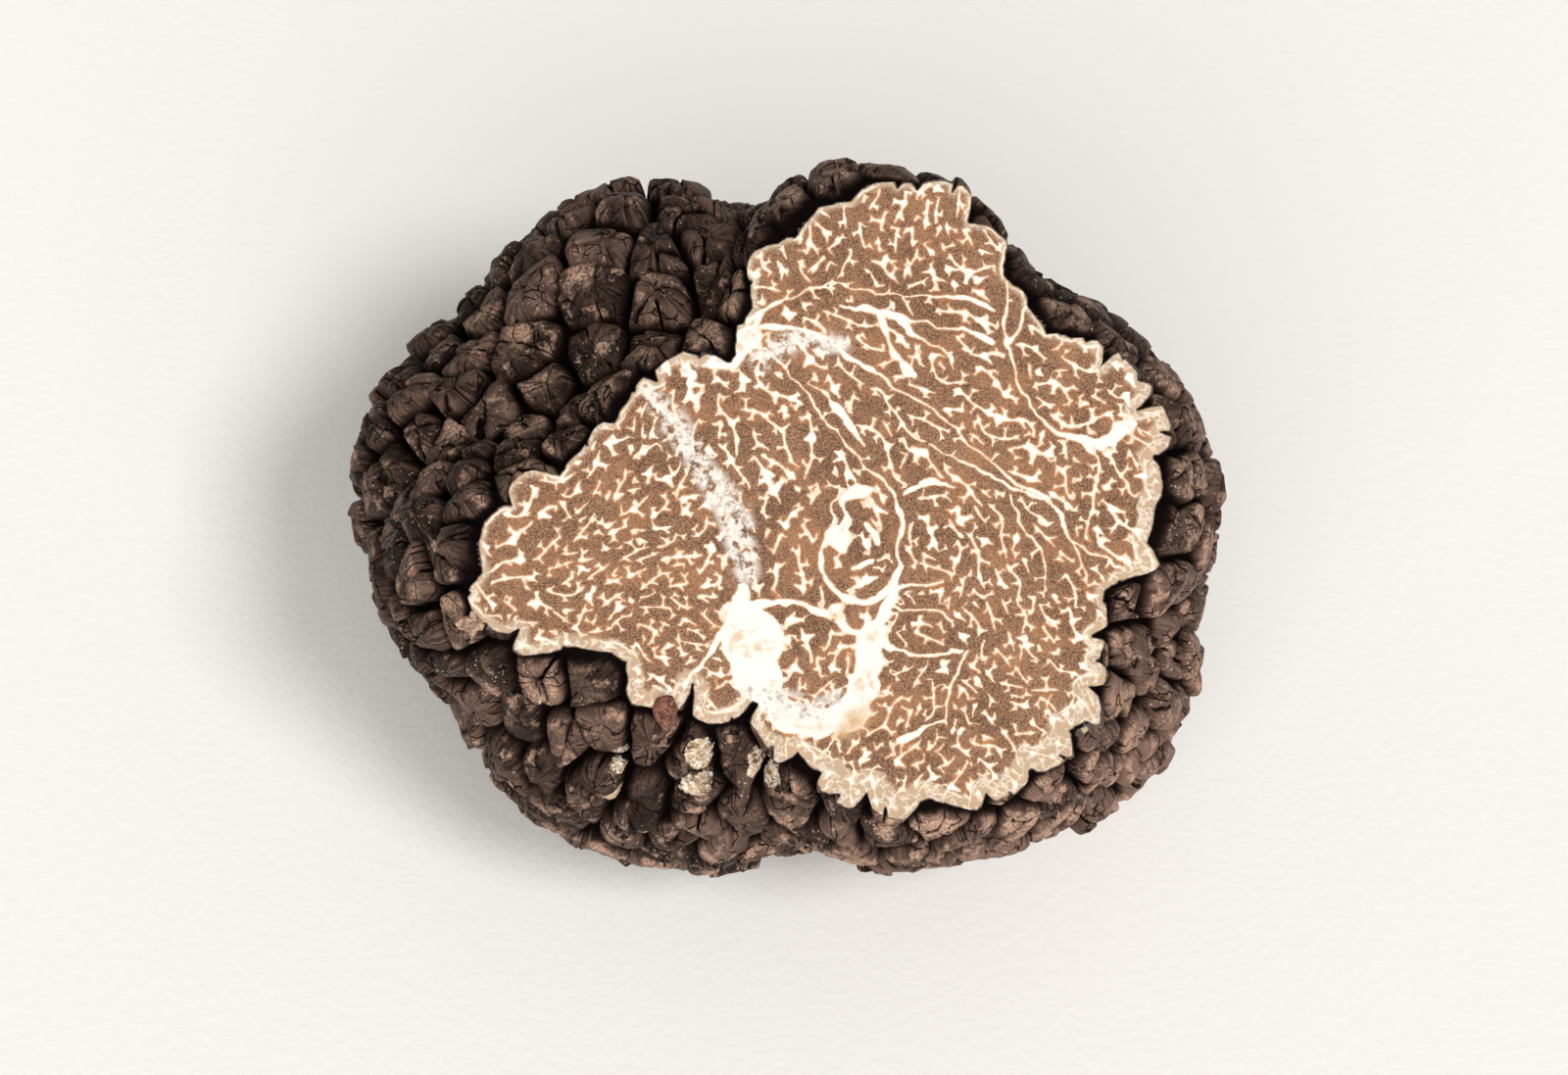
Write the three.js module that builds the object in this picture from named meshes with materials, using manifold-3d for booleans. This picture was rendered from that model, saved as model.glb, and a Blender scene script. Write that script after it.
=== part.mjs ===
// A black summer truffle, whole on every side but one: a flat knife cut across its top
// opens the brown, white-veined flesh. Millimetres, +Z up. The origin is on the floor
// under the middle of the bounding box, +X along the longest side.

import * as THREE from 'three';
import { ConvexHull } from 'three/addons/math/ConvexHull.js';
import { mergeVertices } from 'three/addons/utils/BufferGeometryUtils.js';
import Module from 'manifold-3d';

const wasm = await Module();
wasm.setup();

// Driving dimensions.
const LEAN = 35;                        // degrees the truffle has rolled forward onto its side
const CUT_NORMAL = [0.10, 0.22, 0.97];  // the knife cut, before the truffle rolled
const CUT_HEIGHT = 20;                  // distance of the cut from the truffle's centre
const WART_SPACING = 3.9;               // least distance between two wart centres
const WART_VALLEY = 0.9;                // depth of the grooves between warts, below the skin
const WART_SHOULDER = 0.5;              // height of a wart's shoulder, above the skin
const WART_PEAK = 1.4;                  // mean height of a wart's peak, above the skin
const WART_PEAK_SPREAD = 0.35;          // share by which peaks vary about that mean
const SHOULDER_INSET = 0.22;            // how far the shoulder stands in from the groove
const RESTING_DEPTH = 1.3;              // how much the warts under the truffle are worn flat
const BLEND = 0.8;                      // sharpness of the creases between lobes, per mm
const CANDIDATES = 24000;               // places tried when the warts are sown
const SEED = 90;                        // start of the random numbers

// Limits of the search for the skin along one direction, from the truffle's centre.
const NEAREST_SKIN = 5;
const FARTHEST_SKIN = 60;
const SEARCH_STEPS = 30;

// Side of the blocks that cut the truffle, well over its own size.
const BLOCK_SIDE = 200;

// The random numbers: each is the last one times STRIDE plus SHIFT, wrapped at WRAP.
const STRIDE = 1664525;
const SHIFT = 1013904223;
const WRAP = 4294967296;

// The lobes that the truffle grew in: centre and radii of each, before it rolled.
const LOBES = [
  { centre: [12, 2, 0], radii: [27, 22, 27] },      // main body
  { centre: [8, 15, 6], radii: [15, 17, 19] },      // back of the cut
  { centre: [-12, 14, -6], radii: [17, 17, 18] },   // back left, below the cut
  { centre: [-22, 4, -6], radii: [17, 16, 17] },    // left flank
  { centre: [-7, 4, 0], radii: [15, 14, 27] },      // middle
  { centre: [-17, -4, 4], radii: [19, 14, 24] },    // left end of the cut
  { centre: [-9, -12, 1], radii: [20, 18, 24] },    // front left
  { centre: [11, -13, 6], radii: [20, 16.5, 25] },  // front of the cut
  { centre: [19, -12, -4], radii: [18, 16, 18] },   // right flank
  { centre: [0, 0, -10], radii: [30, 22, 20] },     // underside
];

// Places where warts grew larger or smaller than elsewhere.
const WART_SIZES = [
  { towards: [-0.50, 0.75, 0.30], scale: 1.25, spread: 0.55 },
  { towards: [0.75, -0.60, 0.25], scale: 0.85, spread: 0.45 },
];

function makeRandom(seed) {
  let state = seed;
  return () => {
    state = (state * STRIDE + SHIFT) % WRAP;
    return state / WRAP;
  };
}

function lobeDistance(point, lobe) {
  let sum = 0;
  for (let axis = 0; axis < 3; axis += 1) {
    const offset = (point.getComponent(axis) - lobe.centre[axis]) / lobe.radii[axis];
    sum += offset * offset;
  }
  const meanRadius = (lobe.radii[0] + lobe.radii[1] + lobe.radii[2]) / 3;
  return (Math.sqrt(sum) - 1) * meanRadius;
}

// Negative inside the smooth union of the lobes, positive outside.
function bodyDistance(point) {
  let sum = 0;
  for (const lobe of LOBES) {
    sum += Math.exp(-BLEND * lobeDistance(point, lobe));
  }
  return -Math.log(sum) / BLEND;
}

// The body is star-shaped about its centre, so a direction gives one skin point.
function skinPoint(direction) {
  const point = new THREE.Vector3();
  let inside = NEAREST_SKIN;
  let outside = FARTHEST_SKIN;
  for (let step = 0; step < SEARCH_STEPS; step += 1) {
    const middle = (inside + outside) / 2;
    point.copy(direction).multiplyScalar(middle);
    if (bodyDistance(point) < 0) {
      inside = middle;
    } else {
      outside = middle;
    }
  }
  return point;
}

function wartSpacing(direction) {
  let spacing = WART_SPACING;
  for (const { towards, scale, spread } of WART_SIZES) {
    const apart = direction.angleTo(new THREE.Vector3(...towards));
    spacing *= 1 + (scale - 1) * Math.exp(-((apart / spread) ** 2));
  }
  return spacing;
}

// Wart centres: random places on the skin, each kept if no wart stands too near.
function sowWarts(random) {
  const warts = [];
  for (let index = 0; index < CANDIDATES; index += 1) {
    const height = 1 - 2 * random();
    const turn = 2 * Math.PI * random();
    const width = Math.sqrt(1 - height * height);
    const direction = new THREE.Vector3(width * Math.cos(turn), width * Math.sin(turn), height);
    const centre = skinPoint(direction);
    const spacing = wartSpacing(direction);
    if (warts.every((wart) => wart.centre.distanceTo(centre) > spacing)) {
      warts.push({ direction, centre });
    }
  }
  return warts;
}

// The outline of each wart: the middles of the triangles that join it to its neighbours,
// in order around it. Neighbouring warts share these corners.
function outlineWarts(warts) {
  const nodes = warts.map((wart, index) => Object.assign(wart.direction.clone(), { index }));
  const hull = new ConvexHull().setFromPoints(nodes);
  const corners = [];
  const nextCorner = warts.map(() => new Map());
  for (const face of hull.faces) {
    const around = [face.edge, face.edge.next, face.edge.next.next];
    const members = around.map((edge) => edge.head().point.index);
    const middle = new THREE.Vector3();
    for (const member of members) {
      middle.add(warts[member].centre);
    }
    members.forEach((member, place) => {
      const entering = members[(place + 1) % 3];
      const leaving = members[(place + 2) % 3];
      nextCorner[member].set(entering, { corner: corners.length, leaving });
    });
    corners.push(skinPoint(middle.normalize()));
  }
  warts.forEach((wart, index) => {
    const links = nextCorner[index];
    const first = links.keys().next().value;
    wart.outline = [];
    let neighbour = first;
    do {
      const link = links.get(neighbour);
      wart.outline.push(link.corner);
      neighbour = link.leaving;
    } while (neighbour !== first);
  });
  return corners;
}

// Every wart is a low pyramid: a groove corner ring, a shoulder ring and a peak.
function wartySkin(random) {
  const warts = sowWarts(random);
  const corners = outlineWarts(warts);
  const positions = [];
  const indices = [];
  const addPoint = (point, lift) => {
    const raised = point.clone().setLength(point.length() + lift);
    positions.push(raised.x, raised.y, raised.z);
    return positions.length / 3 - 1;
  };
  for (const corner of corners) {
    addPoint(corner, -WART_VALLEY);
  }
  for (const wart of warts) {
    const shoulder = wart.outline.map((corner) => {
      return addPoint(corners[corner].clone().lerp(wart.centre, SHOULDER_INSET), WART_SHOULDER);
    });
    const peakHeight = WART_PEAK * (1 + WART_PEAK_SPREAD * (2 * random() - 1));
    const peak = addPoint(wart.centre, peakHeight);
    wart.outline.forEach((corner, place) => {
      const next = (place + 1) % wart.outline.length;
      indices.push(corner, wart.outline[next], shoulder[next]);
      indices.push(corner, shoulder[next], shoulder[place]);
      indices.push(shoulder[place], shoulder[next], peak);
    });
  }
  const geometry = new THREE.BufferGeometry();
  geometry.setAttribute('position', new THREE.Float32BufferAttribute(positions, 3));
  geometry.setIndex(indices);
  return geometry;
}

function toSolid(geometry) {
  const bare = geometry.clone();
  bare.deleteAttribute('normal');
  bare.deleteAttribute('uv');
  const merged = mergeVertices(bare);
  return new wasm.Manifold(new wasm.Mesh({
    numProp: 3,
    vertProperties: new Float32Array(merged.attributes.position.array),
    triVerts: new Uint32Array(merged.index.array),
  }));
}

function toGeometry(solid) {
  const mesh = solid.getMesh();
  const geometry = new THREE.BufferGeometry();
  geometry.setAttribute('position', new THREE.BufferAttribute(mesh.vertProperties, 3));
  geometry.setIndex(new THREE.BufferAttribute(mesh.triVerts, 1));
  return geometry;
}

// A block that takes away everything past a plane.
function blockBeyond(normal, distance) {
  const block = new THREE.BoxGeometry(BLOCK_SIDE, BLOCK_SIDE, BLOCK_SIDE);
  block.translate(0, 0, distance + BLOCK_SIDE / 2);
  const turn = new THREE.Quaternion().setFromUnitVectors(new THREE.Vector3(0, 0, 1), normal);
  block.applyQuaternion(turn);
  return toSolid(block);
}

// The truffle's own down, once it has rolled forward.
function floorDirection() {
  const roll = new THREE.Euler(THREE.MathUtils.degToRad(-LEAN), 0, 0);
  return new THREE.Vector3(0, 0, -1).applyEuler(roll);
}

// Distance from the centre to the farthest point one way.
function reachOf(geometry, direction) {
  const point = new THREE.Vector3();
  let reach = 0;
  for (let index = 0; index < geometry.attributes.position.count; index += 1) {
    point.fromBufferAttribute(geometry.attributes.position, index);
    reach = Math.max(reach, point.dot(direction));
  }
  return reach;
}

function truffle() {
  const skin = wartySkin(makeRandom(SEED));
  const cut = new THREE.Vector3(...CUT_NORMAL).normalize();
  const down = floorDirection();
  const floorDistance = reachOf(skin, down) - RESTING_DEPTH;
  const solid = toSolid(skin)
    .subtract(blockBeyond(cut, CUT_HEIGHT))
    .subtract(blockBeyond(down, floorDistance));
  const geometry = toGeometry(solid);
  geometry.rotateX(THREE.MathUtils.degToRad(LEAN));
  geometry.computeBoundingBox();
  const { min, max } = geometry.boundingBox;
  geometry.translate(-(min.x + max.x) / 2, -(min.y + max.y) / 2, -min.z);
  const material = new THREE.MeshStandardMaterial({ color: 0x3b2a24, roughness: 0.75, metalness: 0 });
  const mesh = new THREE.Mesh(geometry, material);
  mesh.name = 'truffle';
  return mesh;
}

const group = new THREE.Group();
group.add(truffle());

export default group;
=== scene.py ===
"""A cut autumn truffle: rind of warts, cut flesh with white veins, and its stage."""

import itertools
import math

import bmesh
import bpy
import numpy as np
from bpy.props import FloatProperty, FloatVectorProperty, IntProperty, PointerProperty
from mathutils import Color, Matrix, Vector, geometry, kdtree


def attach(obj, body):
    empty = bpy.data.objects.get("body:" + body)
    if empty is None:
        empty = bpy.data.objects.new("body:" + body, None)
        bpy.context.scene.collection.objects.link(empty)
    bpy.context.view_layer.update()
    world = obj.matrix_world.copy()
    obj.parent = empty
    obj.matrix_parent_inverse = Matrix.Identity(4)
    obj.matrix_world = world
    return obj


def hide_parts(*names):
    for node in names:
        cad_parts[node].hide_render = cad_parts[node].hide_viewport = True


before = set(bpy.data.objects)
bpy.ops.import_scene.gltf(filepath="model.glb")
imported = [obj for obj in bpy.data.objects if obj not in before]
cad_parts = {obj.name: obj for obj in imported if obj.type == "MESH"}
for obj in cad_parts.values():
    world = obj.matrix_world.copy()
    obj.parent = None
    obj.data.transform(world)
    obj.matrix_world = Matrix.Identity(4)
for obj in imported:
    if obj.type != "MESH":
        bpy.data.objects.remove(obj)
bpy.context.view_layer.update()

bl_info = {
    "name": "Cut truffle",
    "version": (1, 0, 0),
    "blender": (4, 5, 0),
    "location": "View3D > Sidebar > Truffle",
    "description": "Makes a warty truffle with one knife cut that shows its veined flesh",
    "category": "Add Mesh",
}

MM = 0.001
NODE = "truffle"
PIECE = "truffle_body"
FLESH_SLOT = 1

# The body, as in the solid: lobes before the truffle rolled forward, in millimetres.
LEAN = math.radians(35)
CUT_NORMAL = np.array([0.10, 0.22, 0.97]) / np.linalg.norm([0.10, 0.22, 0.97])
CUT_HEIGHT = 20.0
BLEND = 0.8
SOFT_BLEND = 0.22
LOBES = [
    ((12, 2, 0), (27, 22, 27)),       # main body
    ((8, 15, 6), (15, 17, 19)),       # back of the cut
    ((-12, 14, -6), (17, 17, 18)),    # back left, below the cut
    ((-22, 4, -6), (17, 16, 17)),     # left flank
    ((-7, 4, 0), (15, 14, 27)),       # middle
    ((-17, -4, 4), (19, 14, 24)),     # left end of the cut
    ((-9, -12, 1), (20, 18, 24)),     # front left
    ((11, -13, 6), (20, 16.5, 25)),   # front of the cut
    ((19, -12, -4), (18, 16, 18)),    # right flank
    ((0, 0, -10), (30, 22, 20)),      # underside
]
NEAREST_SKIN = 5.0
FARTHEST_SKIN = 60.0
SEARCH_STEPS = 30

# How the warts are sown, as in the solid.
WART_SPACING = 3.9
WART_SIZES = [
    ((-0.50, 0.75, 0.30), 1.25, 0.55),
    ((0.75, -0.60, 0.25), 0.85, 0.45),
]
CANDIDATES = 24000
SEED = 90
STRIDE = 1664525
SHIFT = 1013904223
WRAP = 4294967296
SOLID_PEAK = 1.4
SOLID_PEAK_SPREAD = 0.35
RESTING_DEPTH = 1.3

# What makes each wart its own: ranges and shares, lengths in millimetres.
MOST_BLOCKS = 4
BLOCKS_PER_REACH = 1.1
BLOCK_LUCK = (-0.9, 1.7)
BLOCK_TURN = 0.35
BLOCK_OFFSETS = (0.35, 0.6)
WALL_WIDTHS = (0.55, 1.0)
WART_LIFT = 0.40
JOINED_SHARE = 0.22
SIDE_SLOPES = (0.30, 0.85)
CRACK_SHARES = (0.35, 1.0)
WORN_SHARE = 0.6
WORN_DEPTHS = (0.1, 0.6)
SKEW = (0.3, 0.5, 0.8)

# How the skin rises from the grooves to the warts, in millimetres.
FAR = 9.0
BATCH = 60000
RIDGE_BLEND = 0.04
CORNER_REACH = 0.7
GROOVE_SHARE = 0.5
CORNER_SHARE = 2.8
DOME_POWER = 2.0
SHALLOW_SHARE = 0.4
SHALLOW_DEPTHS = (0.5, 3.0)
CRACK_FLOOR = 0.02
CRACK_OPENING = 0.16
CRACK_FLARE = 0.30
FAINT_CRACK = 0.3
FADE_EDGE = (-0.3, 0.3)
CRACKED_RISE = (0.05, 0.5)
BLOCK_RELIEF = 0.26
WORN_EDGE = (-0.1, 0.2)
WORN_RELIEF = 0.2
CHIP_EDGE = (0.85, 1.05)
CHIP_HEIGHT = 0.25
CHIP_RISE = (0.1, 0.5)
STREAK_STEP = 0.37

# What scatters the corners of the noise's grid: large numbers, and a mask of 32 bits.
SCATTER = (73856093, 19349663, 83492791, 97531)
MIXERS = (1274126177, 668265263)
LOW_BITS = 0xFFFFFFFF

# Noises as layers of (amount, size in millimetres, seed).
BORDER_WOBBLE = [(0.38, 2.7, 11), (0.13, 0.8, 21)]
VALLEY_WAVES = [(0.25, 3.1, 31)]
BLOCK_WOBBLE = [(0.14, 0.9, 41)]
CRACK_FADE = [(1.0, 1.6, 51)]
LUMPS = [(0.12, 2.1, 61), (0.08, 0.85, 71)]
TOP_WAVES = [(0.16, 0.75, 81)]
SKIN_WAVES = [(0.05, 0.42, 91), (0.35, 8.0, 271)]
CHIP_TEAR = [(0.35, 1.1, 281)]
CHIP_WAVES = [(0.2, 0.6, 291)]
CUT_WAVES = [(0.10, 7.0, 101), (0.05, 2.0, 111)]
GRAIN_WAVES = [(1.2, 1.4, 201), (0.5, 3.5, 211)]
VEIN_SWAY = [(0.30, 1.3, 241), (0.14, 0.6, 251)]
VEIN_SWELL = [(0.45, 0.9, 261)]
BIT_WAVES = [(1.0, 0.8, 301), (0.5, 0.35, 311)]

# The knife: how far above the cut a first slice goes, and how warts near it are spared.
FIRST_SLICE = 1.5
SPARED_DEPTH = 0.9
SPARED_DROP = 0.15
THINNING_SPARE = 1.03

# Places in the cut are in millimetres, across and up, from the foot of its normal.
# Each vein is a line of (across, up, half its width).
VEINS = [
    [(-6, 12.5, 0.5), (-3.5, 13.5, 0.35), (1.5, 12.5, 0.45), (4.5, 10.5, 0.3), (7, 9, 0.15),
     (12, 5.5, 0.12), (17, 1, 0.16), (21.5, -2, 0.22), (23.5, -6.5, 0.12), (24.5, -9, 0.08)],
    [(-4.5, 11.5, 0.3), (-2.5, 10.5, 0.14), (1.5, 5.5, 0.12), (3, 3.5, 0.12), (7, -0.5, 0.16),
     (8, -2, 0.22), (8.2, -4, 0.3), (7.6, -9, 0.35), (6.6, -12, 0.8), (4.5, -15.5, 1.4)],
    [(17.5, 20, 0.12), (17.5, 16.5, 0.2), (17.5, 13, 0.3), (18.5, 9.5, 0.15), (20, 6.5, 0.15),
     (22.5, 4.5, 0.3), (25.5, 3.8, 0.7), (28.5, 5.5, 1.2)],
    [(6.5, 15, 0.6), (7.5, 11.5, 0.2), (9.5, 9.5, 0.35)],
    [(2.5, 15.5, 0.1), (6.5, 15.2, 0.5), (9.5, 14.2, 0.2), (14, 13.6, 0.15), (16.5, 12.5, 0.4)],
    [(10.5, 3.5, 0.1), (15, 1, 0.14), (18.5, -0.5, 0.2), (21.5, -2, 0.2)],
    [(8.5, -1.5, 0.2), (10.5, 0, 0.35), (13, -0.5, 0.15)],
    [(18, -1, 0.1), (18.5, -3.5, 0.13), (20.5, -6.5, 0.14), (20.5, -9.5, 0.1)],
    [(22, -2.5, 0.15), (23, -5, 0.14), (25.5, -6.5, 0.14), (28, -7.5, 0.1)],
    [(8, -9.5, 0.15), (11.5, -9, 0.1)],
    [(7.5, -11.5, 0.15), (11.5, -11.5, 0.12), (12.5, -13, 0.1)],
    [(6.5, -14.5, 0.5), (9, -15.5, 0.2), (13.5, -15, 0.15)],
    [(14, -15, 0.15), (12.5, -18.5, 0.15), (11.5, -21, 0.15), (8, -23, 0.4)],
    [(-5, 14, 0.4), (-2, 16, 0.14), (2.5, 17.3, 0.1), (8, 16.6, 0.08), (13, 16.6, 0.2),
     (16.5, 15.6, 0.4)],
    [(8.2, 14.2, 0.35), (10.5, 12.4, 0.15), (12.6, 11.4, 0.25), (12.9, 10.0, 0.12)],
    [(19.4, 16.4, 0.15), (18.8, 14.2, 0.25), (17.8, 12.8, 0.4)],
    [(0, 8.6, 0.08), (2.4, 6.6, 0.35), (3.7, 4.7, 0.45), (4.8, 3.1, 0.12)],
    [(7.2, 12.2, 0.2), (7.8, 11.0, 0.55), (8.9, 9.7, 0.4)],
    [(2.6, -0.6, 0.1), (2.2, -4, 0.14), (1.4, -7, 0.3), (2.4, -9.8, 0.4), (4.8, -11, 0.35),
     (7, -9.6, 0.3)],
    [(2.8, -6.2, 0.7), (3.1, -4.6, 0.9), (3.6, -3.2, 0.3), (3.2, -1.6, 0.5), (5.4, -0.9, 0.7)],
    [(5.4, -4.0, 0.5), (5.9, -5.8, 0.3)],
    [(4.2, -7.8, 0.25), (5.6, -7.4, 0.3)],
    [(-9, 9.8, 0.4), (-6.6, 10.8, 1.0), (-4.8, 12.8, 0.9), (-4.2, 14.8, 0.4)],
    [(-5.5, -9.5, 0.5), (-6.2, -12, 0.9), (-7.5, -14.5, 0.35), (-10.5, -18.5, 0.3)],
    [(-5.5, -12, 1.2), (-4.7, -13.2, 2.3), (-4.6, -16.4, 2.4), (-3.4, -19.2, 1.6),
     (-1, -21.4, 1.2), (1.8, -21.6, 1.3), (4, -20, 1.4), (5.1, -17.5, 1.4), (5.2, -15, 1.0),
     (3.4, -13, 0.6), (-1.2, -11.2, 0.45), (-4.2, -11.0, 0.5)],
]
GLEBA_ISLANDS = [
    [(0, -12.6, 0.6), (2, -13.6, 0.9), (1.6, -15.2, 1.1), (0.2, -16.6, 1.5), (0, -18.6, 1.4)],
    [(3.7, -15.2, 0.4), (3.3, -16.6, 0.8), (2.9, -18.0, 0.4)],
]
STAINS = [
    [(3.0, -22.3, 0.5), (4.0, -21.4, 1.0), (5.0, -20.4, 0.6)],
]
FROST = [
    [(-14, 7.5, 0.6), (-11.5, 4.5, 1.1), (-9, 0.5, 0.9), (-6.5, -3, 1.4), (-5.2, -8.5, 0.9)],
    [(-4, 10.5, 0.8), (-1, 12.5, 0.9), (3, 12, 0.6)],
    [(-5.5, -18.5, 0.4), (-2.4, -20, 1.2), (1.2, -20.4, 0.8), (2.5, -19.2, 0.4)],
]
# How the fine veins run: place, direction in degrees, how far apart, how long.
GRAIN = [
    ((4, 24), 90, 1.19, 2.2),
    ((-2, 10), -48, 1.36, 9.0),
    ((8, 4), -52, 1.32, 7.0),
    ((15, 7), -38, 1.28, 9.0),
    ((24, 12), -20, 1.23, 3.0),
    ((27, -3), -42, 1.14, 7.0),
    ((20, -7), -60, 1.19, 5.0),
    ((14, -12), -80, 1.10, 2.5),
    ((8, -22), 60, 0.95, 3.0),
    ((18, -20), -50, 0.97, 2.5),
    ((-5, 2), -68, 1.45, 4.0),
    ((-2, -5), -100, 1.55, 3.0),
    ((-14, -2), 40, 1.05, 2.2),
    ((-17, -9), 10, 0.92, 2.0),
    ((-22, -16), -20, 1.10, 2.0),
    ((-27, -3), 0, 1.35, 3.0),
]
GRAIN_REACH = 5.0
GRAIN_STEP = 0.25
# Where the pale rim of the cut is wider: place, reach, extra width.
WIDE_RIM = [
    ((4, -28), 7, 1.8),
    ((20, -22), 8, 1.6),
    ((33, -6), 6, 1.4),
    ((-9, 12), 5, 0.6),
    ((-12, -20), 7, 0.9),
    ((-21, -15), 7, 0.6),
    ((27, 7), 6, 0.5),
    ((31, 0), 5, 0.7),
]
USUAL_RIM = 0.28
FROST_EDGE = (-0.3, 0.5)
STAIN_EDGE = (-0.6, 0.6)
LEVEL_RIM = 1.5
FEW_TRIES = 1500
MANY_TRIES = 9000
# Fine veins: how many are tried, gap to others at the start, length share, half width, gap kept.
FINE_VEINS = [
    (FEW_TRIES, 0.95, 1.4, 0.085, 0.46),
    (MANY_TRIES, 0.64, 1.05, 0.085, 0.44),
]
VEIN_STEP = 0.22
VEIN_CELL = 1
VEIN_ROUND = 0.05
VEIN_LEAST = 0.03
VEIN_SHARE = 0.75
VEIN_LENGTHS = (0.4, 1.3)
VEIN_TURN = 0.6
VEIN_NUDGE = 0.12
USUAL_GAP = 1.2
FROM_WHITE = 0.1
SOWN_DEPTH = 0.35
LEAST_DEPTH = 0.3
JOIN_CHANCE = 0.10
JOIN_GAP = 0.3
KNOT_REACH = 0.30
LARGEST_KNOT = 0.27
KNOT_POWER = 2.5
KNOT_STEPS = (3, 8)
MAIN_KNOT_STEPS = 3
TIP_POINTS = 3
TIP_SHARE = 0.35
BARBED_WIDTH = 0.5
BARB_SPARE = 0.04
BARB_TURNS = (50, 110)
BARB_LENGTHS = (0.30, 0.90)
BRANCH_GAP = 0.36
BRANCH_TIP = 0.3
FORK_CHANCE = 0.55
PRONG_TURNS = (30, 75)
PRONG_LENGTHS = (0.25, 0.6)
PRONG_WIDTH = 0.08

# The sheet that closes the cut: how its vertices are spread, in millimetres.
FLESH_GRID = 0.5
ROW_SHARE = 0.866
SEED_CELL = 0.2
SEED_MERGE = 0.11
RIM_CLEAR = 0.22
MIDDLE_CLEAR = 0.14
MIDDLE_RIM_CLEAR = 0.2
GRID_CLEAR = 0.3
GAP_SIZES = (0.3, 1.3)
MIDDLE_GAP = 0.22
CLOSE = 1e-6
NEAR_POINTS = 6

# Warts whose tips are broken off: place on the skin, and how far the break reaches.
CHIPS = [
    ((-7.3, -19.0, 23.1), 1.5),
    ((-7.5, -21.9, 21.0), 1.5),
    ((-13.9, -20.1, 21.6), 1.3),
    ((-14.4, -23.0, 18.3), 1.1),
    ((-1.6, -20.2, 22.5), 1.7),
    ((-20.4, -15.0, 21.4), 0.8),
]

# The side towards which the warts are paler and have more pale patches, and how far out they are fully
# so.
PALE_SIDE = (0.70, -0.62, -0.25)
PALE_SIDE_FULLY = 34.0

# Patterns of the finishes, in cells a millimetre. The warp also has how far it pushes.
STREAK_SCALE = 3.0
LINE_CELLS = 2.2
SPOKE_CELLS = 0.6
CLOUD_CELLS = 0.35
BLOTCH_CELLS = 0.55
GRAIN_CELLS = 3.5
FINE_CELLS = 11.0
SPECK_CELLS = 2.0
SPECKED_CELLS = 0.16
SPLIT_CELLS = 0.42
SPLIT_WARP = (0.6, 1.2)
PITH_FOLDS = 1.5
PITH_CELLS = 0.9
RAGGED_CELLS = 2.6
COARSE_CELLS = 0.8
RIM_CELLS = 0.7
RIM_LINE_CELLS = 0.4
RIM_FOLDS = 1.0
SPORE_CELLS = 7.0
SPORE_CLOUDS = 0.22
RIPE_CELLS = 0.3
SMOKE_CELLS = 0.45
FELT_CELLS = 0.9
THREAD_CELLS = 1.5
WRINKLE_CELLS = 1.6
DRY_CELLS = 5.0

# How rough, glossy and bumpy the finishes are, and how high their bumps are in millimetres.
RIND_ROUGHNESS = (0.42, 0.85)
RIND_GLOSS = 0.08
RIND_BUMP = 1.0
GRAIN_HEIGHT = 0.18
FINE_HEIGHT = 0.04
LINE_HEIGHT = 0.09
SPLIT_DEPTH = 0.15
FLESH_ROUGHNESS = 0.62
FLESH_GLOSS = 0.35
FLESH_BUMP = 0.8
SPORE_HEIGHT = 0.05
VEIN_HEIGHT = 0.03
BIT_ROUGHNESS = 0.6
BIT_GLOSS = 0.2
BIT_BUMP = 1.0
WRINKLE_HEIGHT = 0.4
DRY_HEIGHT = 0.06
FLOOR_ROUGHNESS = 0.9
FLOOR_BUMP = 0.05

# Edges in the flesh, from outside to inside a vein, and from the rim inwards, in millimetres.
AMBER_EDGE = (-0.20, 0.0)
VEIN_EDGE = (-0.025, 0.025)
VEIN_SIDES = (-0.06, 0.06)
WHITE_EDGE = (0.02, 0.15)
CLOUD_EDGE = (0.25, 0.7)
RIND_LINE = (0.05, 0.16)
PALE_RIM = (-0.1, 0.5)

# Loose bits on the rind: name, place, half sizes and roughness in millimetres, colour.
BITS = [
    ("seed_husk", (-10.4, -26.9, 40.6), (1.0, 0.6, 1.55), 0.16, "husk"),
    ("torn_chip", (-27.2, -20.5, 44.9), (1.25, 0.5, 0.95), 0.55, "torn"),
]
BIT_TURN = math.radians(-55)
BIT_DETAIL = 5
BIT_TAPER = 0.45
BIT_SHADE = 0.30
BIT_DUST = (0.8, 0.62, 0.5, 1.0)

# Floor, sky and camera: lengths in metres, lens in millimetres, colours as light values.
FLOOR_SIZE = 6
FLOOR_COLOUR = (0.93, 0.905, 0.865, 1)
SKY_COLOUR = (1, 0.99, 0.97, 1)
CAMERA_HEIGHT = math.radians(55)
CAMERA_DISTANCE = 0.42
CAMERA_DROP = 0.00076
CAMERA_LENS = 106.2

# Lamps: name, heading and height in degrees, how wide it looks in degrees, and its strength.
LAMPS = [
    ("key", -50, 53, 16, 1.55),
    ("fill", -90, 25, 70, 2.60),
]
LAMP_DISTANCE = 0.5
WORLD_STRENGTH = 0.29

# The bake map: the cut's corner and its millimetre, half a side's width, and each side's middle.
BAKE_FLESH = (0.01, 0.01, 0.01)
BAKE_UNIT = 0.142
BAKE_SIDES = {
    (0, 1): (0.835, 0.155),
    (0, -1): (0.835, 0.485),
    (1, 1): (0.835, 0.815),
    (1, -1): (0.490, 0.770),
    (2, -1): (0.165, 0.790),
}


# ---------------------------------------------------------------------------------------
# Numbers


def random_numbers(count):
    """The first numbers from 0 to 1 of the row that sows the warts."""
    numbers = np.empty(count)
    state = SEED
    for index in range(count):
        state = (state * STRIDE + SHIFT) % WRAP
        numbers[index] = state / WRAP
    return numbers


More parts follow.
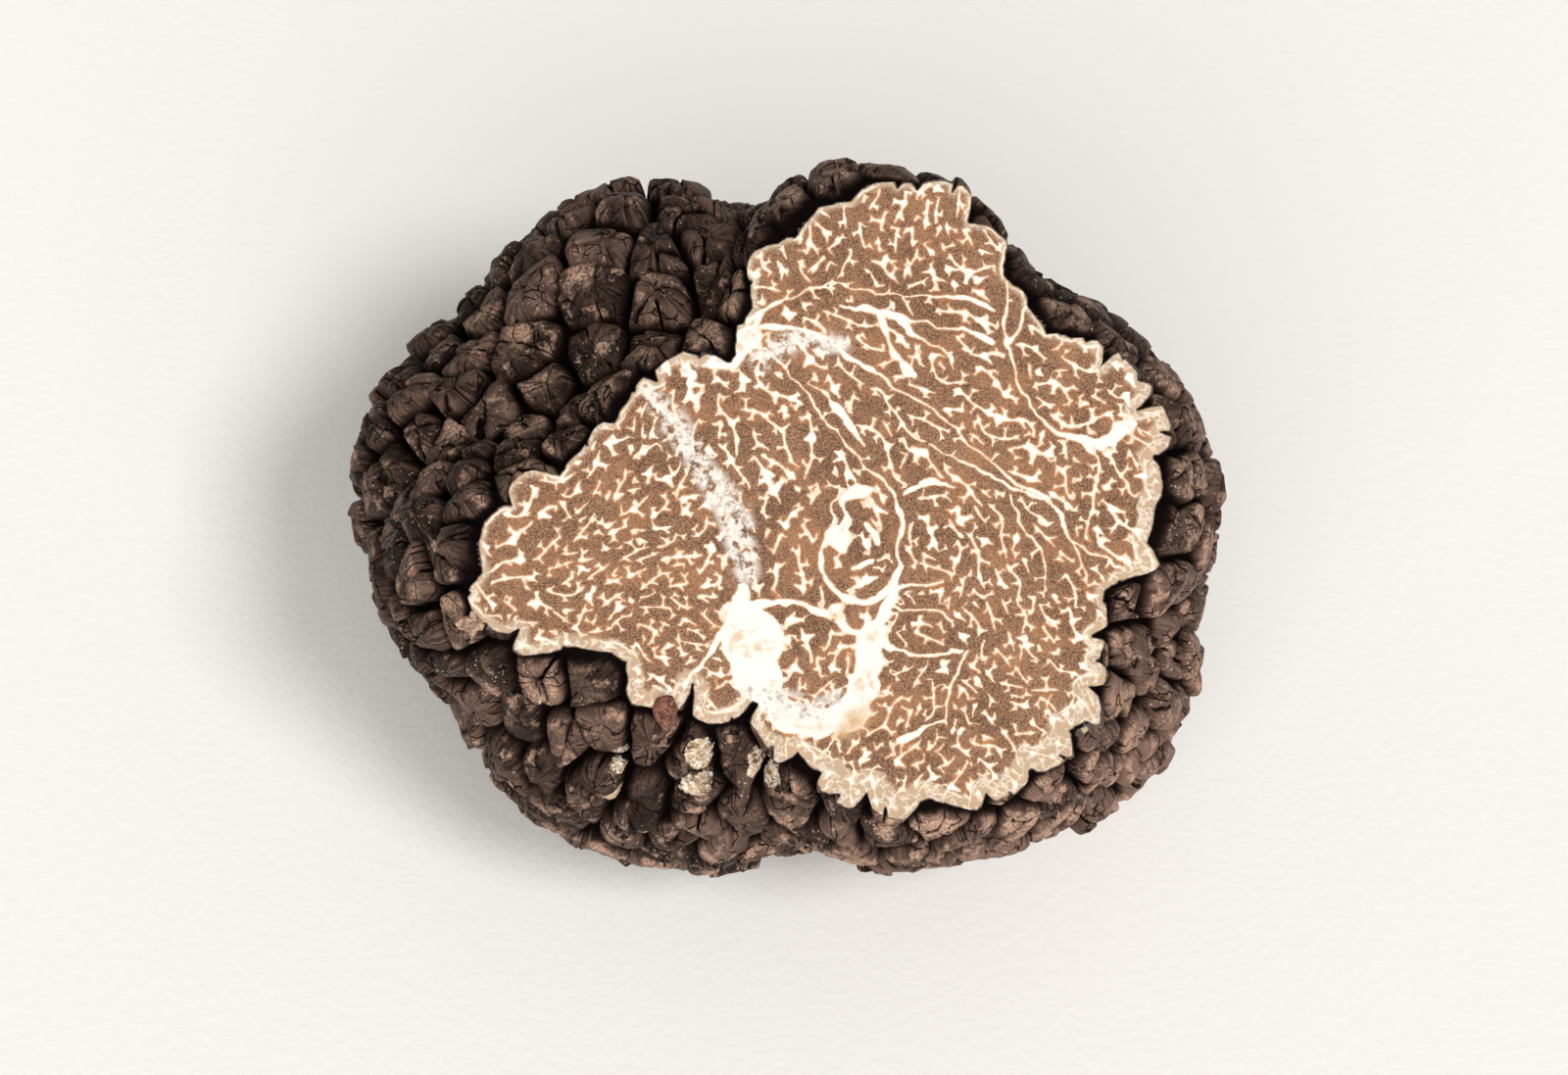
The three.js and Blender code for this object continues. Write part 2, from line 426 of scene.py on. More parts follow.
def value_noise(points, size, seed):
    """Smooth noise from -1 to 1 with bumps about size millimetres across."""
    cells = points / size
    base = np.floor(cells).astype(np.int64)
    part = cells - base
    part = part * part * (3 - 2 * part)
    total = np.zeros(len(points))
    for corner in itertools.product((0, 1), repeat=3):
        grid = base + corner
        mixed = grid[:, 0] * SCATTER[0] ^ grid[:, 1] * SCATTER[1]
        mixed = mixed ^ grid[:, 2] * SCATTER[2] ^ seed * SCATTER[3]
        mixed = (mixed ^ mixed >> 13) * MIXERS[0] & LOW_BITS
        mixed = (mixed ^ mixed >> 15) * MIXERS[1] & LOW_BITS
        value = (mixed ^ mixed >> 16 & 0xFFFF) % 65536 / 65535
        weight = np.ones(len(points))
        for axis in range(3):
            weight *= part[:, axis] if corner[axis] else 1 - part[:, axis]
        total += weight * value
    return 2 * total - 1


def vector_noise(points, size, seed):
    """Three noises at once, for pushing points about."""
    return np.stack([value_noise(points, size, seed + axis) for axis in range(3)], 1)


def layered(points, layers, noise=value_noise):
    """A sum of noises, one for each layer of (amount, size, seed)."""
    return sum(amount * noise(points, size, seed) for amount, size, seed in layers)


def smooth_step(low, high, value):
    """0 below low, 1 above high, and a smooth rise between them."""
    part = np.clip((value - low) / (high - low), 0, 1)
    return part * part * (3 - 2 * part)


def unit(vectors):
    """The same vectors, one long."""
    return vectors / np.linalg.norm(vectors, axis=-1, keepdims=True)


def band_distance(points, bands):
    """Signed distance of flat points to the edge of the nearest band, below zero inside."""
    nearest = np.full(len(points), FAR)
    for band in bands:
        for (ax, ay, start), (bx, by, end) in zip(band, band[1:]):
            root = np.array([ax, ay])
            run = np.array([bx - ax, by - ay])
            along = np.clip((points - root) @ run / (run @ run), 0, 1)
            away = np.linalg.norm(points - root - along[:, None] * run, axis=1)
            nearest = np.minimum(nearest, away - start - along * (end - start))
    return nearest


# ---------------------------------------------------------------------------------------
# The body and its warts


def body_distance(points):
    """Below zero inside the smooth union of the lobes, above zero outside."""
    total = np.zeros(points.shape[:-1])
    for centre, radii in LOBES:
        offset = (points - np.array(centre, float)) / np.array(radii, float)
        distance = (np.sqrt((offset ** 2).sum(-1)) - 1) * np.mean(radii)
        total += np.exp(-BLEND * distance)
    return -np.log(total) / BLEND


def body_normals(points):
    """Outward directions of a softer body, so warts stand up and creases don't clash."""
    total = np.zeros(len(points))
    slope = np.zeros(points.shape)
    for centre, radii in LOBES:
        radii = np.array(radii, float)
        offset = (points - np.array(centre, float)) / radii
        size = np.linalg.norm(offset, axis=1)
        weight = np.exp(-SOFT_BLEND * (size - 1) * radii.mean())
        slope += (weight * radii.mean() / size)[:, None] * offset / radii
        total += weight
    return unit(slope / total[:, None])


def skin_points(directions):
    """Where each direction from the centre leaves the body."""
    inside = np.full(len(directions), NEAREST_SKIN)
    outside = np.full(len(directions), FARTHEST_SKIN)
    for _ in range(SEARCH_STEPS):
        middle = (inside + outside) / 2
        below = body_distance(directions * middle[:, None]) < 0
        inside = np.where(below, middle, inside)
        outside = np.where(below, outside, middle)
    return directions * ((inside + outside) / 2)[:, None]


def sow_warts():
    """Wart directions and centres, in the solid's order, and the solid's peak heights."""
    numbers = random_numbers(2 * CANDIDATES)
    height = 1 - 2 * numbers[0::2]
    turn = 2 * np.pi * numbers[1::2]
    width = np.sqrt(1 - height ** 2)
    directions = np.stack([width * np.cos(turn), width * np.sin(turn), height], 1)
    places = skin_points(directions)
    spacing = np.full(CANDIDATES, WART_SPACING)
    for towards, scale, spread in WART_SIZES:
        apart = np.arccos(np.clip(directions @ unit(np.array(towards)), -1, 1))
        spacing *= 1 + (scale - 1) * np.exp(-(apart / spread) ** 2)
    kept = []
    centres = np.empty((CANDIDATES, 3))
    for index in range(CANDIDATES):
        gaps = centres[:len(kept)] - places[index]
        if not kept or (gaps ** 2).sum(1).min() > spacing[index] ** 2:
            centres[len(kept)] = places[index]
            kept.append(index)
    extra = random_numbers(2 * CANDIDATES + len(kept))[2 * CANDIDATES:]
    peaks = SOLID_PEAK * (1 + SOLID_PEAK_SPREAD * (2 * extra - 1))
    return directions[kept], places[kept], peaks


def neighbour_table(directions):
    """For each wart, the warts around it, padded with its own index."""
    shell = bmesh.new()
    for direction in directions:
        shell.verts.new(direction)
    shell.verts.index_update()
    bmesh.ops.convex_hull(shell, input=list(shell.verts))
    around = [set() for _ in directions]
    for edge in shell.edges:
        first, second = (vert.index for vert in edge.verts)
        around[first].add(second)
        around[second].add(first)
    shell.free()
    widest = max(len(members) for members in around)
    table = np.repeat(np.arange(len(directions))[:, None], widest, 1)
    for index, members in enumerate(around):
        table[index, :len(members)] = sorted(members)
    return table


class Warts:
    """All warts, with what makes each one its own."""

    def __init__(self):
        self.directions, self.centres, self.peaks = sow_warts()
        self.table = neighbour_table(self.directions)
        count = len(self.centres)
        own = np.arange(count)[:, None]
        gaps = np.linalg.norm(self.centres[self.table] - self.centres[own], axis=2)
        gaps[self.table == own] = np.inf
        self.reach = gaps.min(1) / 2
        dice = np.random.default_rng(SEED)
        luck = dice.uniform(*BLOCK_LUCK, count)
        self.blocks = np.clip(np.rint(self.reach * BLOCKS_PER_REACH + luck), 1, MOST_BLOCKS)
        self.wall = dice.uniform(*WALL_WIDTHS, count)
        self.lift = dice.uniform(-WART_LIFT, WART_LIFT, count)
        self.group = np.arange(count)
        for index in np.flatnonzero(dice.random(count) < JOINED_SHARE):
            other = self.table[index, dice.integers(0, 4)]
            if self.group[index] == index and self.group[other] == other:
                self.group[other] = index
        self.slope = dice.uniform(*SIDE_SLOPES, self.table.shape)
        self.crack = dice.uniform(*CRACK_SHARES, count)
        rubbed = dice.random(count) < WORN_SHARE
        self.worn = np.where(rubbed, dice.uniform(*WORN_DEPTHS, count), 0)
        self.tone = dice.random(count)
        self.block_lift = dice.uniform(-1, 1, (count, MOST_BLOCKS))
        self.block_tilt = dice.uniform(-1, 1, (count, MOST_BLOCKS, 3))
        self.across = unit(np.cross(self.centres, SKEW))
        self.along = unit(np.cross(self.centres, self.across))
        start = dice.uniform(0, 2 * np.pi, count)
        self.block_centres = np.empty((count, MOST_BLOCKS, 3))
        for block in range(MOST_BLOCKS):
            turn = dice.uniform(-BLOCK_TURN, BLOCK_TURN, count)
            angle = start + 2 * np.pi * block / self.blocks + turn
            offset = dice.uniform(*BLOCK_OFFSETS, count) * self.reach
            side = self.across * np.cos(angle)[:, None] + self.along * np.sin(angle)[:, None]
            self.block_centres[:, block] = self.centres + side * offset[:, None]


def nearest_two(points, places, used):
    """Distance of each point to the border between its nearest two places, and the nearest."""
    squares = ((points[:, None] - places) ** 2).sum(2)
    squares[~used] = np.inf
    order = np.argsort(squares, 1)
    rows = np.arange(len(points))
    first, second = order[:, 0], order[:, 1]
    gap = np.linalg.norm(places[rows, first] - places[rows, second], axis=1) + 1e-9
    difference = squares[rows, second] - squares[rows, first]
    return np.where(np.isfinite(difference), difference / (2 * gap), FAR), first


def nearest_warts(points, warts):
    """The wart that each point belongs to."""
    own = np.empty(len(points), np.int64)
    for start in range(0, len(points), BATCH):
        part = slice(start, start + BATCH)
        scores = points[part] @ warts.centres.T - (warts.centres ** 2).sum(1) / 2
        own[part] = scores.argmax(1)
    return own


def wart_borders(points, own, warts):
    """Distance to a wart's border, its next border and its seam with a joined wart, and a lean.

    The lean rises from each border at that side's own slope, with soft ridges between sides.
    """
    centres = warts.centres[own]
    border = np.full(len(points), FAR)
    second = np.full(len(points), FAR)
    seam = np.full(len(points), FAR)
    lean = np.zeros(len(points))
    home = ((points - centres) ** 2).sum(1)
    for column in range(warts.table.shape[1]):
        other = warts.table[own, column]
        away = warts.centres[other]
        gap = np.linalg.norm(away - centres, axis=1)
        distance = (((points - away) ** 2).sum(1) - home) / (2 * gap + 1e-9)
        distance[other == own] = FAR
        joined = warts.group[other] == warts.group[own]
        seam = np.where(joined, np.minimum(seam, distance), seam)
        distance[joined] = FAR
        lean += np.exp(-distance * warts.slope[own, column] / RIDGE_BLEND)
        second = np.minimum(second, np.maximum(border, distance))
        border = np.minimum(border, distance)
    lean = -RIDGE_BLEND * np.log(lean + 1e-9)
    return np.maximum(border, 0), second, seam, lean


def break_tips(points, height):
    """The height with some wart tips broken off, and where they are."""
    chip = np.zeros(len(points))
    torn = layered(points, CHIP_TEAR)
    for centre, reach in CHIPS:
        away = np.linalg.norm(points - np.array(centre), axis=1)
        chip = np.maximum(chip, 1 - smooth_step(*CHIP_EDGE, away / reach + torn))
    broken = CHIP_HEIGHT + layered(points, CHIP_WAVES)
    return height + np.minimum(broken - height, 0) * chip, chip


def relief(points, warts, sizes):
    """Height of the rind above the body at each skin point, what colours it, and its wart."""
    moved = points + layered(points, BORDER_WOBBLE, vector_noise)
    own = nearest_warts(moved, warts)
    border, second, seam, lean = wart_borders(moved, own, warts)

    corner = np.exp(-(second / CORNER_REACH) ** 2)
    groove = sizes["groove"] * (GROOVE_SHARE + CORNER_SHARE * corner)
    climb = np.clip((border - groove) / warts.wall[own], 0, 1)
    dome = 1 - (1 - climb) ** DOME_POWER
    below_cut = CUT_HEIGHT - points @ CUT_NORMAL
    bottom = -sizes["valley"] * (1 + layered(points, VALLEY_WAVES))
    bottom *= SHALLOW_SHARE + (1 - SHALLOW_SHARE) * smooth_step(*SHALLOW_DEPTHS, below_cut)
    shoulder = sizes["shoulder"] + warts.lift[own]
    height = bottom + (shoulder - bottom) * dome + lean * dome

    rows = np.arange(MOST_BLOCKS)[None] < warts.blocks[own][:, None]
    bent = moved + layered(points, BLOCK_WOBBLE, vector_noise)
    crack_gap, block = nearest_two(bent, warts.block_centres[own], rows)
    crack_gap[warts.blocks[own] == 1] = FAR
    crack_gap = np.minimum(crack_gap, np.maximum(seam, 0))
    fade = smooth_step(*FADE_EDGE, layered(points, CRACK_FADE))
    opening = CRACK_OPENING + CRACK_FLARE * (1 - dome)
    crack = 1 - smooth_step(CRACK_FLOOR, opening, crack_gap)
    crack = crack * (FAINT_CRACK + (1 - FAINT_CRACK) * fade) * warts.crack[own]
    lift = warts.block_lift[own, block]
    from_block = points - warts.block_centres[own, block]
    tilt = (from_block * warts.block_tilt[own, block]).sum(1)
    height += dome * (BLOCK_RELIEF * lift + BLOCK_RELIEF * tilt)
    height -= crack * sizes["crack"] * smooth_step(*CRACKED_RISE, dome)
    height += layered(points, LUMPS) * dome

    peak = warts.peaks[own] * sizes["peak"] / SOLID_PEAK + warts.lift[own]
    top = peak - warts.worn[own] * sizes["peak"] + layered(points, TOP_WAVES)
    over = height - top
    worn = smooth_step(*WORN_EDGE, over)
    height = np.where(over > 0, top + WORN_RELIEF * over, height)
    height, chip = break_tips(points, height)
    height += layered(points, SKIN_WAVES)

    from_wart = moved - warts.centres[own]
    aside = (from_wart * warts.across[own]).sum(1)
    along = (from_wart * warts.along[own]).sum(1)
    turn = np.arctan2(along, aside)
    shade = {
        "rise": np.clip(dome, 0, 1),
        "worn": worn,
        "tone": warts.tone[own],
        "crack": crack,
        "chip": chip * smooth_step(*CHIP_RISE, dome),
        "streak": np.stack([np.cos(turn), np.sin(turn), own * STREAK_STEP], 1),
        "growth": points,
    }
    return height, shade, own


# ---------------------------------------------------------------------------------------
# Properties


def length_property(name, description, default):
    """A length in metres, given in millimetres."""
    return FloatProperty(
        name=name, description=description, default=default * MM, unit="LENGTH", precision=5)


def colour_property(name, description, red, green, blue):
    """A colour given as the screen shows it, each part from 0 to 255."""
    return FloatVectorProperty(
        name=name, description=description, subtype="COLOR_GAMMA", min=0, max=1,
        default=(red / 255, green / 255, blue / 255))


class TruffleSizes(bpy.types.PropertyGroup):
    """Sizes of the rind and of the cut."""

    wart_peak: length_property("Wart peak", "Mean height of a wart above the skin", 1.5)
    wart_shoulder: length_property("Wart shoulder", "Height where a wart's steep sides end", 0.15)
    wart_valley: length_property("Groove depth", "Depth of the grooves below the skin", 1.55)
    groove_width: length_property("Groove width", "Half the width of a groove's floor", 0.09)
    crack_depth: length_property("Crack depth", "Depth of the cracks that split a wart", 1.6)
    detail: IntProperty(
        name="Detail", description="Subdivisions of the sphere that becomes the rind",
        default=9, min=5, max=9)
    rind_triangles: IntProperty(
        name="Rind triangles", description="Triangles that the finished rind keeps",
        default=150000, min=10000, max=180000)


class TruffleColours(bpy.types.PropertyGroup):
    """Colours of the rind and of the flesh."""

    rind_dark: colour_property("Rind, dark", "The darkest warts", 31, 20, 17)
    rind_light: colour_property("Rind, light", "The palest warts", 122, 95, 82)
    rind_worn: colour_property("Rind, worn", "Rubbed tops of the warts", 196, 158, 134)
    # flank is partly the rind's own red-brown on the warts' lower sides and partly painted shade
    # there; crevice is painted shade, nearly black, in grooves, cracks and splits.
    flank_shade: colour_property("Flank", "Lower sides of the warts", 24, 7, 5)
    crevice_shade: colour_property("Crevice", "Grooves and cracks", 8, 1, 1)
    speck: colour_property("Speck", "Fine pale specks on the warts", 205, 190, 175)
    gleba: colour_property("Flesh", "Ripe flesh between the veins", 164, 122, 90)
    gleba_dark: colour_property("Flesh, dark", "Spores in the ripe flesh", 82, 53, 36)
    halo: colour_property("Flesh beside a vein", "Flesh that borders a vein", 184, 128, 84)
    vein: colour_property("Vein", "White veins", 238, 232, 220)
    vein_edge: colour_property("Vein, thin", "Thin veins and vein edges", 224, 198, 168)
    frost: colour_property("Frost", "Felted fibres in the widest veins", 230, 220, 208)
    thread: colour_property("Thread", "Grey threads in the felt", 134, 116, 104)
    stain: colour_property("Stain", "Tan clouds in the widest veins", 206, 168, 124)
    husk: colour_property("Husk", "Dry seed husk on the rind", 134, 84, 67)
    torn: colour_property("Torn rind", "Loose chip beside the cut", 204, 168, 140)
    cream: colour_property("Rim", "Pale flesh under the rind", 194, 166, 136)


# ---------------------------------------------------------------------------------------
# Materials


def linear(colour):
    """A shown colour as the light values that shaders work with."""
    return (*Color(colour).from_srgb_to_scene_linear(), 1.0)


class Finish:
    """A material that grows node by node."""

    def __init__(self, name):
        self.material = bpy.data.materials.new(name)
        self.material.use_nodes = True
        self.tree = self.material.node_tree
        self.tree.nodes.clear()

    def node(self, kind, inputs=(), **settings):
        """A node with its settings, its inputs linked or set."""
        node = self.tree.nodes.new(kind)
        for key, value in settings.items():
            setattr(node, key, value)
        for key, value in dict(inputs).items():
            if isinstance(value, bpy.types.NodeSocket):
                self.tree.links.new(value, node.inputs[key])
            else:
                node.inputs[key].default_value = value
        return node

    def math(self, operation, *values):
        """One sum."""
        return self.node("ShaderNodeMath", enumerate(values), operation=operation).outputs[0]

    def plus(self, first, second):
        """The first value and the second."""
        return self.math("ADD", first, second)

    def minus(self, first, second):
        """The first value less the second."""
        return self.math("SUBTRACT", first, second)

    def times(self, first, second):
        """The first value times the second."""
        return self.math("MULTIPLY", first, second)

    def larger(self, first, second):
        """The larger of two values."""
        return self.math("MAXIMUM", first, second)

    def vector(self, operation, first, second):
        """One sum of vectors."""
        key = 3 if operation == "SCALE" else 1
        node = self.node("ShaderNodeVectorMath", {0: first, key: second}, operation=operation)
        return node.outputs[0]

    def attribute(self, name, output="Fac"):
        """What the mesh stores under a name."""
        return self.node("ShaderNodeAttribute", attribute_name=name).outputs[output]

    def noise(self, place, scale, detail=2.0, rough=0.5, output="Fac"):
        """Cloudy noise from 0 to 1, scale cells a millimetre."""
        inputs = {"Vector": place, "Scale": scale, "Detail": detail, "Roughness": rough}
        return self.node("ShaderNodeTexNoise", inputs).outputs[output]

    def folds(self, place, scale):
        """How far noise is from its middle, which is near 0 along thin winding lines."""
        return self.math("ABSOLUTE", self.minus(self.noise(place, scale), 0.5))

    def cells(self, place, scale, feature="F1"):
        """Distances in a pattern of cells."""
        inputs = {"Vector": place, "Scale": scale}
        return self.node("ShaderNodeTexVoronoi", inputs, feature=feature).outputs["Distance"]

    def ramp(self, value, low, high, start=0.0, end=1.0, smooth=True):
        """From start to end while value goes from low to high."""
        inputs = {"Value": value, "From Min": low, "From Max": high, "To Min": start, "To Max": end}
        sort = "SMOOTHSTEP" if smooth else "LINEAR"
        return self.node("ShaderNodeMapRange", inputs, interpolation_type=sort).outputs[0]

    def mix(self, factor, first, second):
        """A mix of two colours."""
        inputs = {0: factor, 6: first, 7: second}
        return self.node("ShaderNodeMix", inputs, data_type="RGBA").outputs[2]

    def warp(self, place, scale, amount):
        """A place pushed about by noise."""
        push = self.vector("SUBTRACT", self.noise(place, scale, 1.0, output="Color"), (0.5, 0.5, 0.5))
        return self.vector("ADD", place, self.vector("SCALE", push, amount))

    def place(self):
        """Object coordinates in millimetres."""
        coordinates = self.node("ShaderNodeTexCoord").outputs["Object"]
        return self.vector("SCALE", coordinates, 1 / MM)

    def close(self, colour, rough, gloss, height, strength):
        """The shader itself, with fine bumps from a height in millimetres."""
        bump = self.node("ShaderNodeBump", {
            "Height": self.times(height, MM), "Strength": strength, "Distance": 1.0})
        shader = self.node("ShaderNodeBsdfPrincipled", {
            "Base Color": colour, "Roughness": rough, "Specular IOR Level": gloss,
            "Normal": bump.outputs[0]})
        self.node("ShaderNodeOutputMaterial", {"Surface": shader.outputs[0]})
        return self.material


def rind_skin(finish, colours, place, streak, grain):
    """Colour of the skin with its striations and rubbed places, and how rubbed it is."""
    rise = finish.attribute("rise")
    tone = finish.attribute("tone")
    cloud = finish.noise(place, CLOUD_CELLS, 3.0, 0.6)
    lines = finish.noise(streak, LINE_CELLS, 3.0, 0.6)
    # The warts are paler, and pale patches more common, towards the lower right front side.
    towards = finish.node("ShaderNodeVectorMath", {0: place, 1: PALE_SIDE}, operation="DOT_PRODUCT")
    toward_pale_side = finish.ramp(towards.outputs["Value"], 0.0, PALE_SIDE_FULLY)

    level = finish.plus(finish.times(tone, 0.5), finish.times(cloud, 0.8))
    level = finish.plus(level, finish.times(finish.minus(lines, 0.5), 1.3))
    level = finish.ramp(finish.plus(level, finish.times(toward_pale_side, 0.30)), 0.35, 1.25)
    skin = finish.mix(level, linear(colours.rind_dark), linear(colours.rind_light))

    blotch = finish.plus(finish.noise(place, BLOTCH_CELLS, 3.0, 0.6), finish.times(toward_pale_side, 0.07))
    patch = finish.times(finish.ramp(blotch, 0.56, 0.68), finish.ramp(rise, 0.55, 0.95))
    bare = finish.ramp(finish.plus(cloud, finish.times(toward_pale_side, 0.05)), 0.40, 0.58, 0.15, 1.0)
    rubbed = finish.larger(finish.times(finish.attribute("worn"), bare), finish.times(patch, 0.8))
    rubbed = finish.times(rubbed, finish.ramp(grain, 0.34, 0.60, 0.15, 1.0))
    return finish.mix(rubbed, skin, linear(colours.rind_worn)), rubbed, lines


def rind_specks(finish, colours, place, skin, grain, fine):
    """The skin with a pale bloom and small pale specks on the warts."""
    bloom = finish.times(finish.ramp(fine, 0.55, 0.68), finish.ramp(grain, 0.45, 0.6))
    skin = finish.mix(finish.times(bloom, 0.35), skin, linear(colours.rind_worn))
    specked = finish.ramp(finish.noise(place, SPECKED_CELLS), 0.50, 0.60, 0.08, 1.0)
    specks = finish.times(finish.ramp(finish.cells(place, SPECK_CELLS), 0.16, 0.22, 1.0, 0.0), specked)
    specks = finish.times(specks, finish.ramp(finish.attribute("rise"), 0.4, 0.8))
    return finish.mix(finish.times(specks, finish.ramp(fine, 0.42, 0.55)), skin, linear(colours.speck))


def rind_splits(finish, place, streak):
    """Fine splits of the skin, some in a net and some that run out from a wart's middle."""
    net = finish.cells(finish.warp(place, *SPLIT_WARP), SPLIT_CELLS, "DISTANCE_TO_EDGE")
    net = finish.times(finish.ramp(net, 0.0, 0.045, 1.0, 0.0),
                       finish.ramp(finish.noise(place, 0.5), 0.48, 0.56))
    spokes = finish.math("ABSOLUTE", finish.minus(finish.noise(streak, SPOKE_CELLS, 1.0), 0.6))
    spokes = finish.times(finish.ramp(spokes, 0.0, 0.022, 1.0, 0.0),
                          finish.ramp(finish.attribute("tone"), 0.3, 0.5))
    return finish.larger(net, spokes)


def pith(finish, colours, place):
    """Pale flesh with white folds and dark spots, where a wart's tip is broken off."""
    folds = finish.ramp(finish.folds(place, PITH_FOLDS), 0.01, 0.06, 0.95, 0.0)
    pale = finish.mix(folds, linear(colours.cream), linear(colours.vein))
    spots = finish.ramp(finish.noise(place, PITH_CELLS, 4.0, 0.7), 0.53, 0.60, 0.0, 0.9)
    return finish.mix(spots, pale, linear(colours.gleba_dark))


def rind_material(colours):
    """Satin brown-black warts with rubbed tops, fine cracks and pale specks, with painted shade on the
    low sides, grooves and cracks.
    """
    finish = Finish("rind")
    place = finish.place()
    rise = finish.attribute("rise")
    streak = finish.vector("SCALE", finish.attribute("streak", "Vector"), STREAK_SCALE)
    grain = finish.noise(place, GRAIN_CELLS, 4.0, 0.65)
    fine = finish.noise(place, FINE_CELLS, 3.0, 0.7)

    skin, rubbed, lines = rind_skin(finish, colours, place, streak, grain)
    skin = rind_specks(finish, colours, place, skin, grain, fine)
    # Painted shade: the lower sides of the warts turn dark red-brown, and grooves, cracks and fine
    # splits nearly black.
    flank_shade = finish.ramp(rise, 0.35, 0.9, 1.0, 0.0)
    skin = finish.mix(finish.times(flank_shade, 0.85), skin, linear(colours.flank_shade))
    split = rind_splits(finish, place, streak)
    deep = finish.larger(finish.ramp(rise, 0.25, 0.85, 1.0, 0.0),
                         finish.ramp(finish.attribute("crack"), 0.06, 0.36))
    deep = finish.larger(deep, split)
    skin = finish.mix(deep, skin, linear(colours.crevice_shade))
    chip = finish.ramp(finish.plus(finish.attribute("chip"), finish.minus(grain, 0.5)), 0.4, 0.6)
    skin = finish.mix(chip, skin, pith(finish, colours, place))

    rough = finish.ramp(finish.larger(rubbed, deep), 0.0, 1.0, *RIND_ROUGHNESS, False)
    height = finish.plus(finish.times(grain, GRAIN_HEIGHT), finish.times(fine, FINE_HEIGHT))
    height = finish.plus(height, finish.times(lines, LINE_HEIGHT))
    height = finish.minus(height, finish.times(split, SPLIT_DEPTH))
    return finish.close(skin, rough, RIND_GLOSS, height, RIND_BUMP)


def vein_depth(finish, place, inward, wide):
    """How deep a place is inside a vein, in millimetres, with ragged edges and the rim's line."""
    vein = finish.attribute("vein")
    ragged = finish.minus(finish.noise(place, RAGGED_CELLS, 3.0, 0.65), 0.5)
    coarse = finish.minus(finish.noise(place, COARSE_CELLS, 2.0, 0.6), 0.5)
    sway = finish.plus(finish.times(ragged, 0.24),
                       finish.times(coarse, finish.ramp(vein, -0.5, 0.0, 1.2, 0.0)))
    from_line = finish.math("ABSOLUTE", finish.minus(inward, wide))
    line = finish.ramp(finish.noise(place, RIM_LINE_CELLS, 1.0), 0.35, 0.6, -0.10, 0.12)
    return finish.larger(finish.minus(sway, vein), finish.minus(line, from_line))


def ripe_flesh(finish, colours, place, veins, grain):
    """Flesh speckled with spores, amber beside the veins and in clouds."""
    clouded = finish.plus(grain, finish.times(finish.noise(place, SPORE_CLOUDS), 0.15))
    gleba = finish.mix(finish.ramp(clouded, 0.49, 0.67),
                       linear(colours.gleba_dark), linear(colours.gleba))
    ripe = finish.noise(place, RIPE_CELLS)
    amber = finish.times(finish.ramp(veins, *AMBER_EDGE), finish.ramp(ripe, 0.4, 0.6, 0.25, 1.0))
    amber = finish.larger(amber, finish.ramp(ripe, 0.5, 0.66, 0.0, 0.30))
    return finish.mix(amber, gleba, linear(colours.halo))


def felted(finish, colours, place, flesh, veins):
    """The flesh with tan clouds in its wide veins, and with felted fibres and grey threads."""
    frost = finish.attribute("frost")
    smoke = finish.noise(place, SMOKE_CELLS, 4.0, 0.65)
    tan = finish.times(finish.attribute("stain"), finish.ramp(smoke, 0.35, 0.55, 0.5, 1.0))
    clouds = finish.times(finish.ramp(smoke, 0.50, 0.66, 0.0, 0.7), finish.ramp(veins, *CLOUD_EDGE))
    flesh = finish.mix(finish.larger(clouds, tan), flesh, linear(colours.stain))
    felt = finish.ramp(finish.noise(place, FELT_CELLS, 3.0, 0.6), 0.40, 0.54)
    flesh = finish.mix(finish.times(frost, felt), flesh, linear(colours.frost))
    threads = finish.ramp(finish.noise(place, THREAD_CELLS, 4.0, 0.7), 0.51, 0.62, 0.0, 0.6)
    return finish.mix(finish.times(frost, threads), flesh, linear(colours.thread))


def flesh_material(colours):
    """Speckled brown flesh, its maze of white veins, and the pale rim under the rind."""
    finish = Finish("flesh")
    place = finish.place()
    rim = finish.attribute("rim")
    wide = finish.attribute("cream")
    uneven = finish.minus(finish.noise(place, RIM_CELLS, 3.0, 0.6), 0.5)
    uneven = finish.times(uneven, finish.times(finish.plus(wide, 0.1), 1.1))
    inward = finish.plus(rim, uneven)
    veins = vein_depth(finish, place, inward, wide)
    grain = finish.noise(place, SPORE_CELLS, 2.0, 0.8)

    flesh = ripe_flesh(finish, colours, place, veins, grain)
    folds = finish.ramp(finish.folds(place, RIM_FOLDS), 0.01, 0.05, 0.6, 0.0)
    rind_flesh = finish.mix(folds, linear(colours.cream), linear(colours.vein))
    pale = finish.ramp(finish.minus(inward, wide), *PALE_RIM, 1.0, 0.0)
    flesh = finish.mix(finish.times(pale, 0.85), flesh, rind_flesh)
    white = finish.ramp(veins, *WHITE_EDGE)
    white = finish.mix(white, linear(colours.vein_edge), linear(colours.vein))
    flesh = finish.mix(finish.ramp(veins, *VEIN_EDGE), flesh, white)
    flesh = felted(finish, colours, place, flesh, veins)
    flesh = finish.mix(finish.ramp(rim, *RIND_LINE, 0.9, 0.0), flesh, linear(colours.rind_dark))

    height = finish.plus(finish.times(grain, SPORE_HEIGHT),
                         finish.ramp(veins, *VEIN_SIDES, 0.0, VEIN_HEIGHT))
    return finish.close(flesh, FLESH_ROUGHNESS, FLESH_GLOSS, height, FLESH_BUMP)


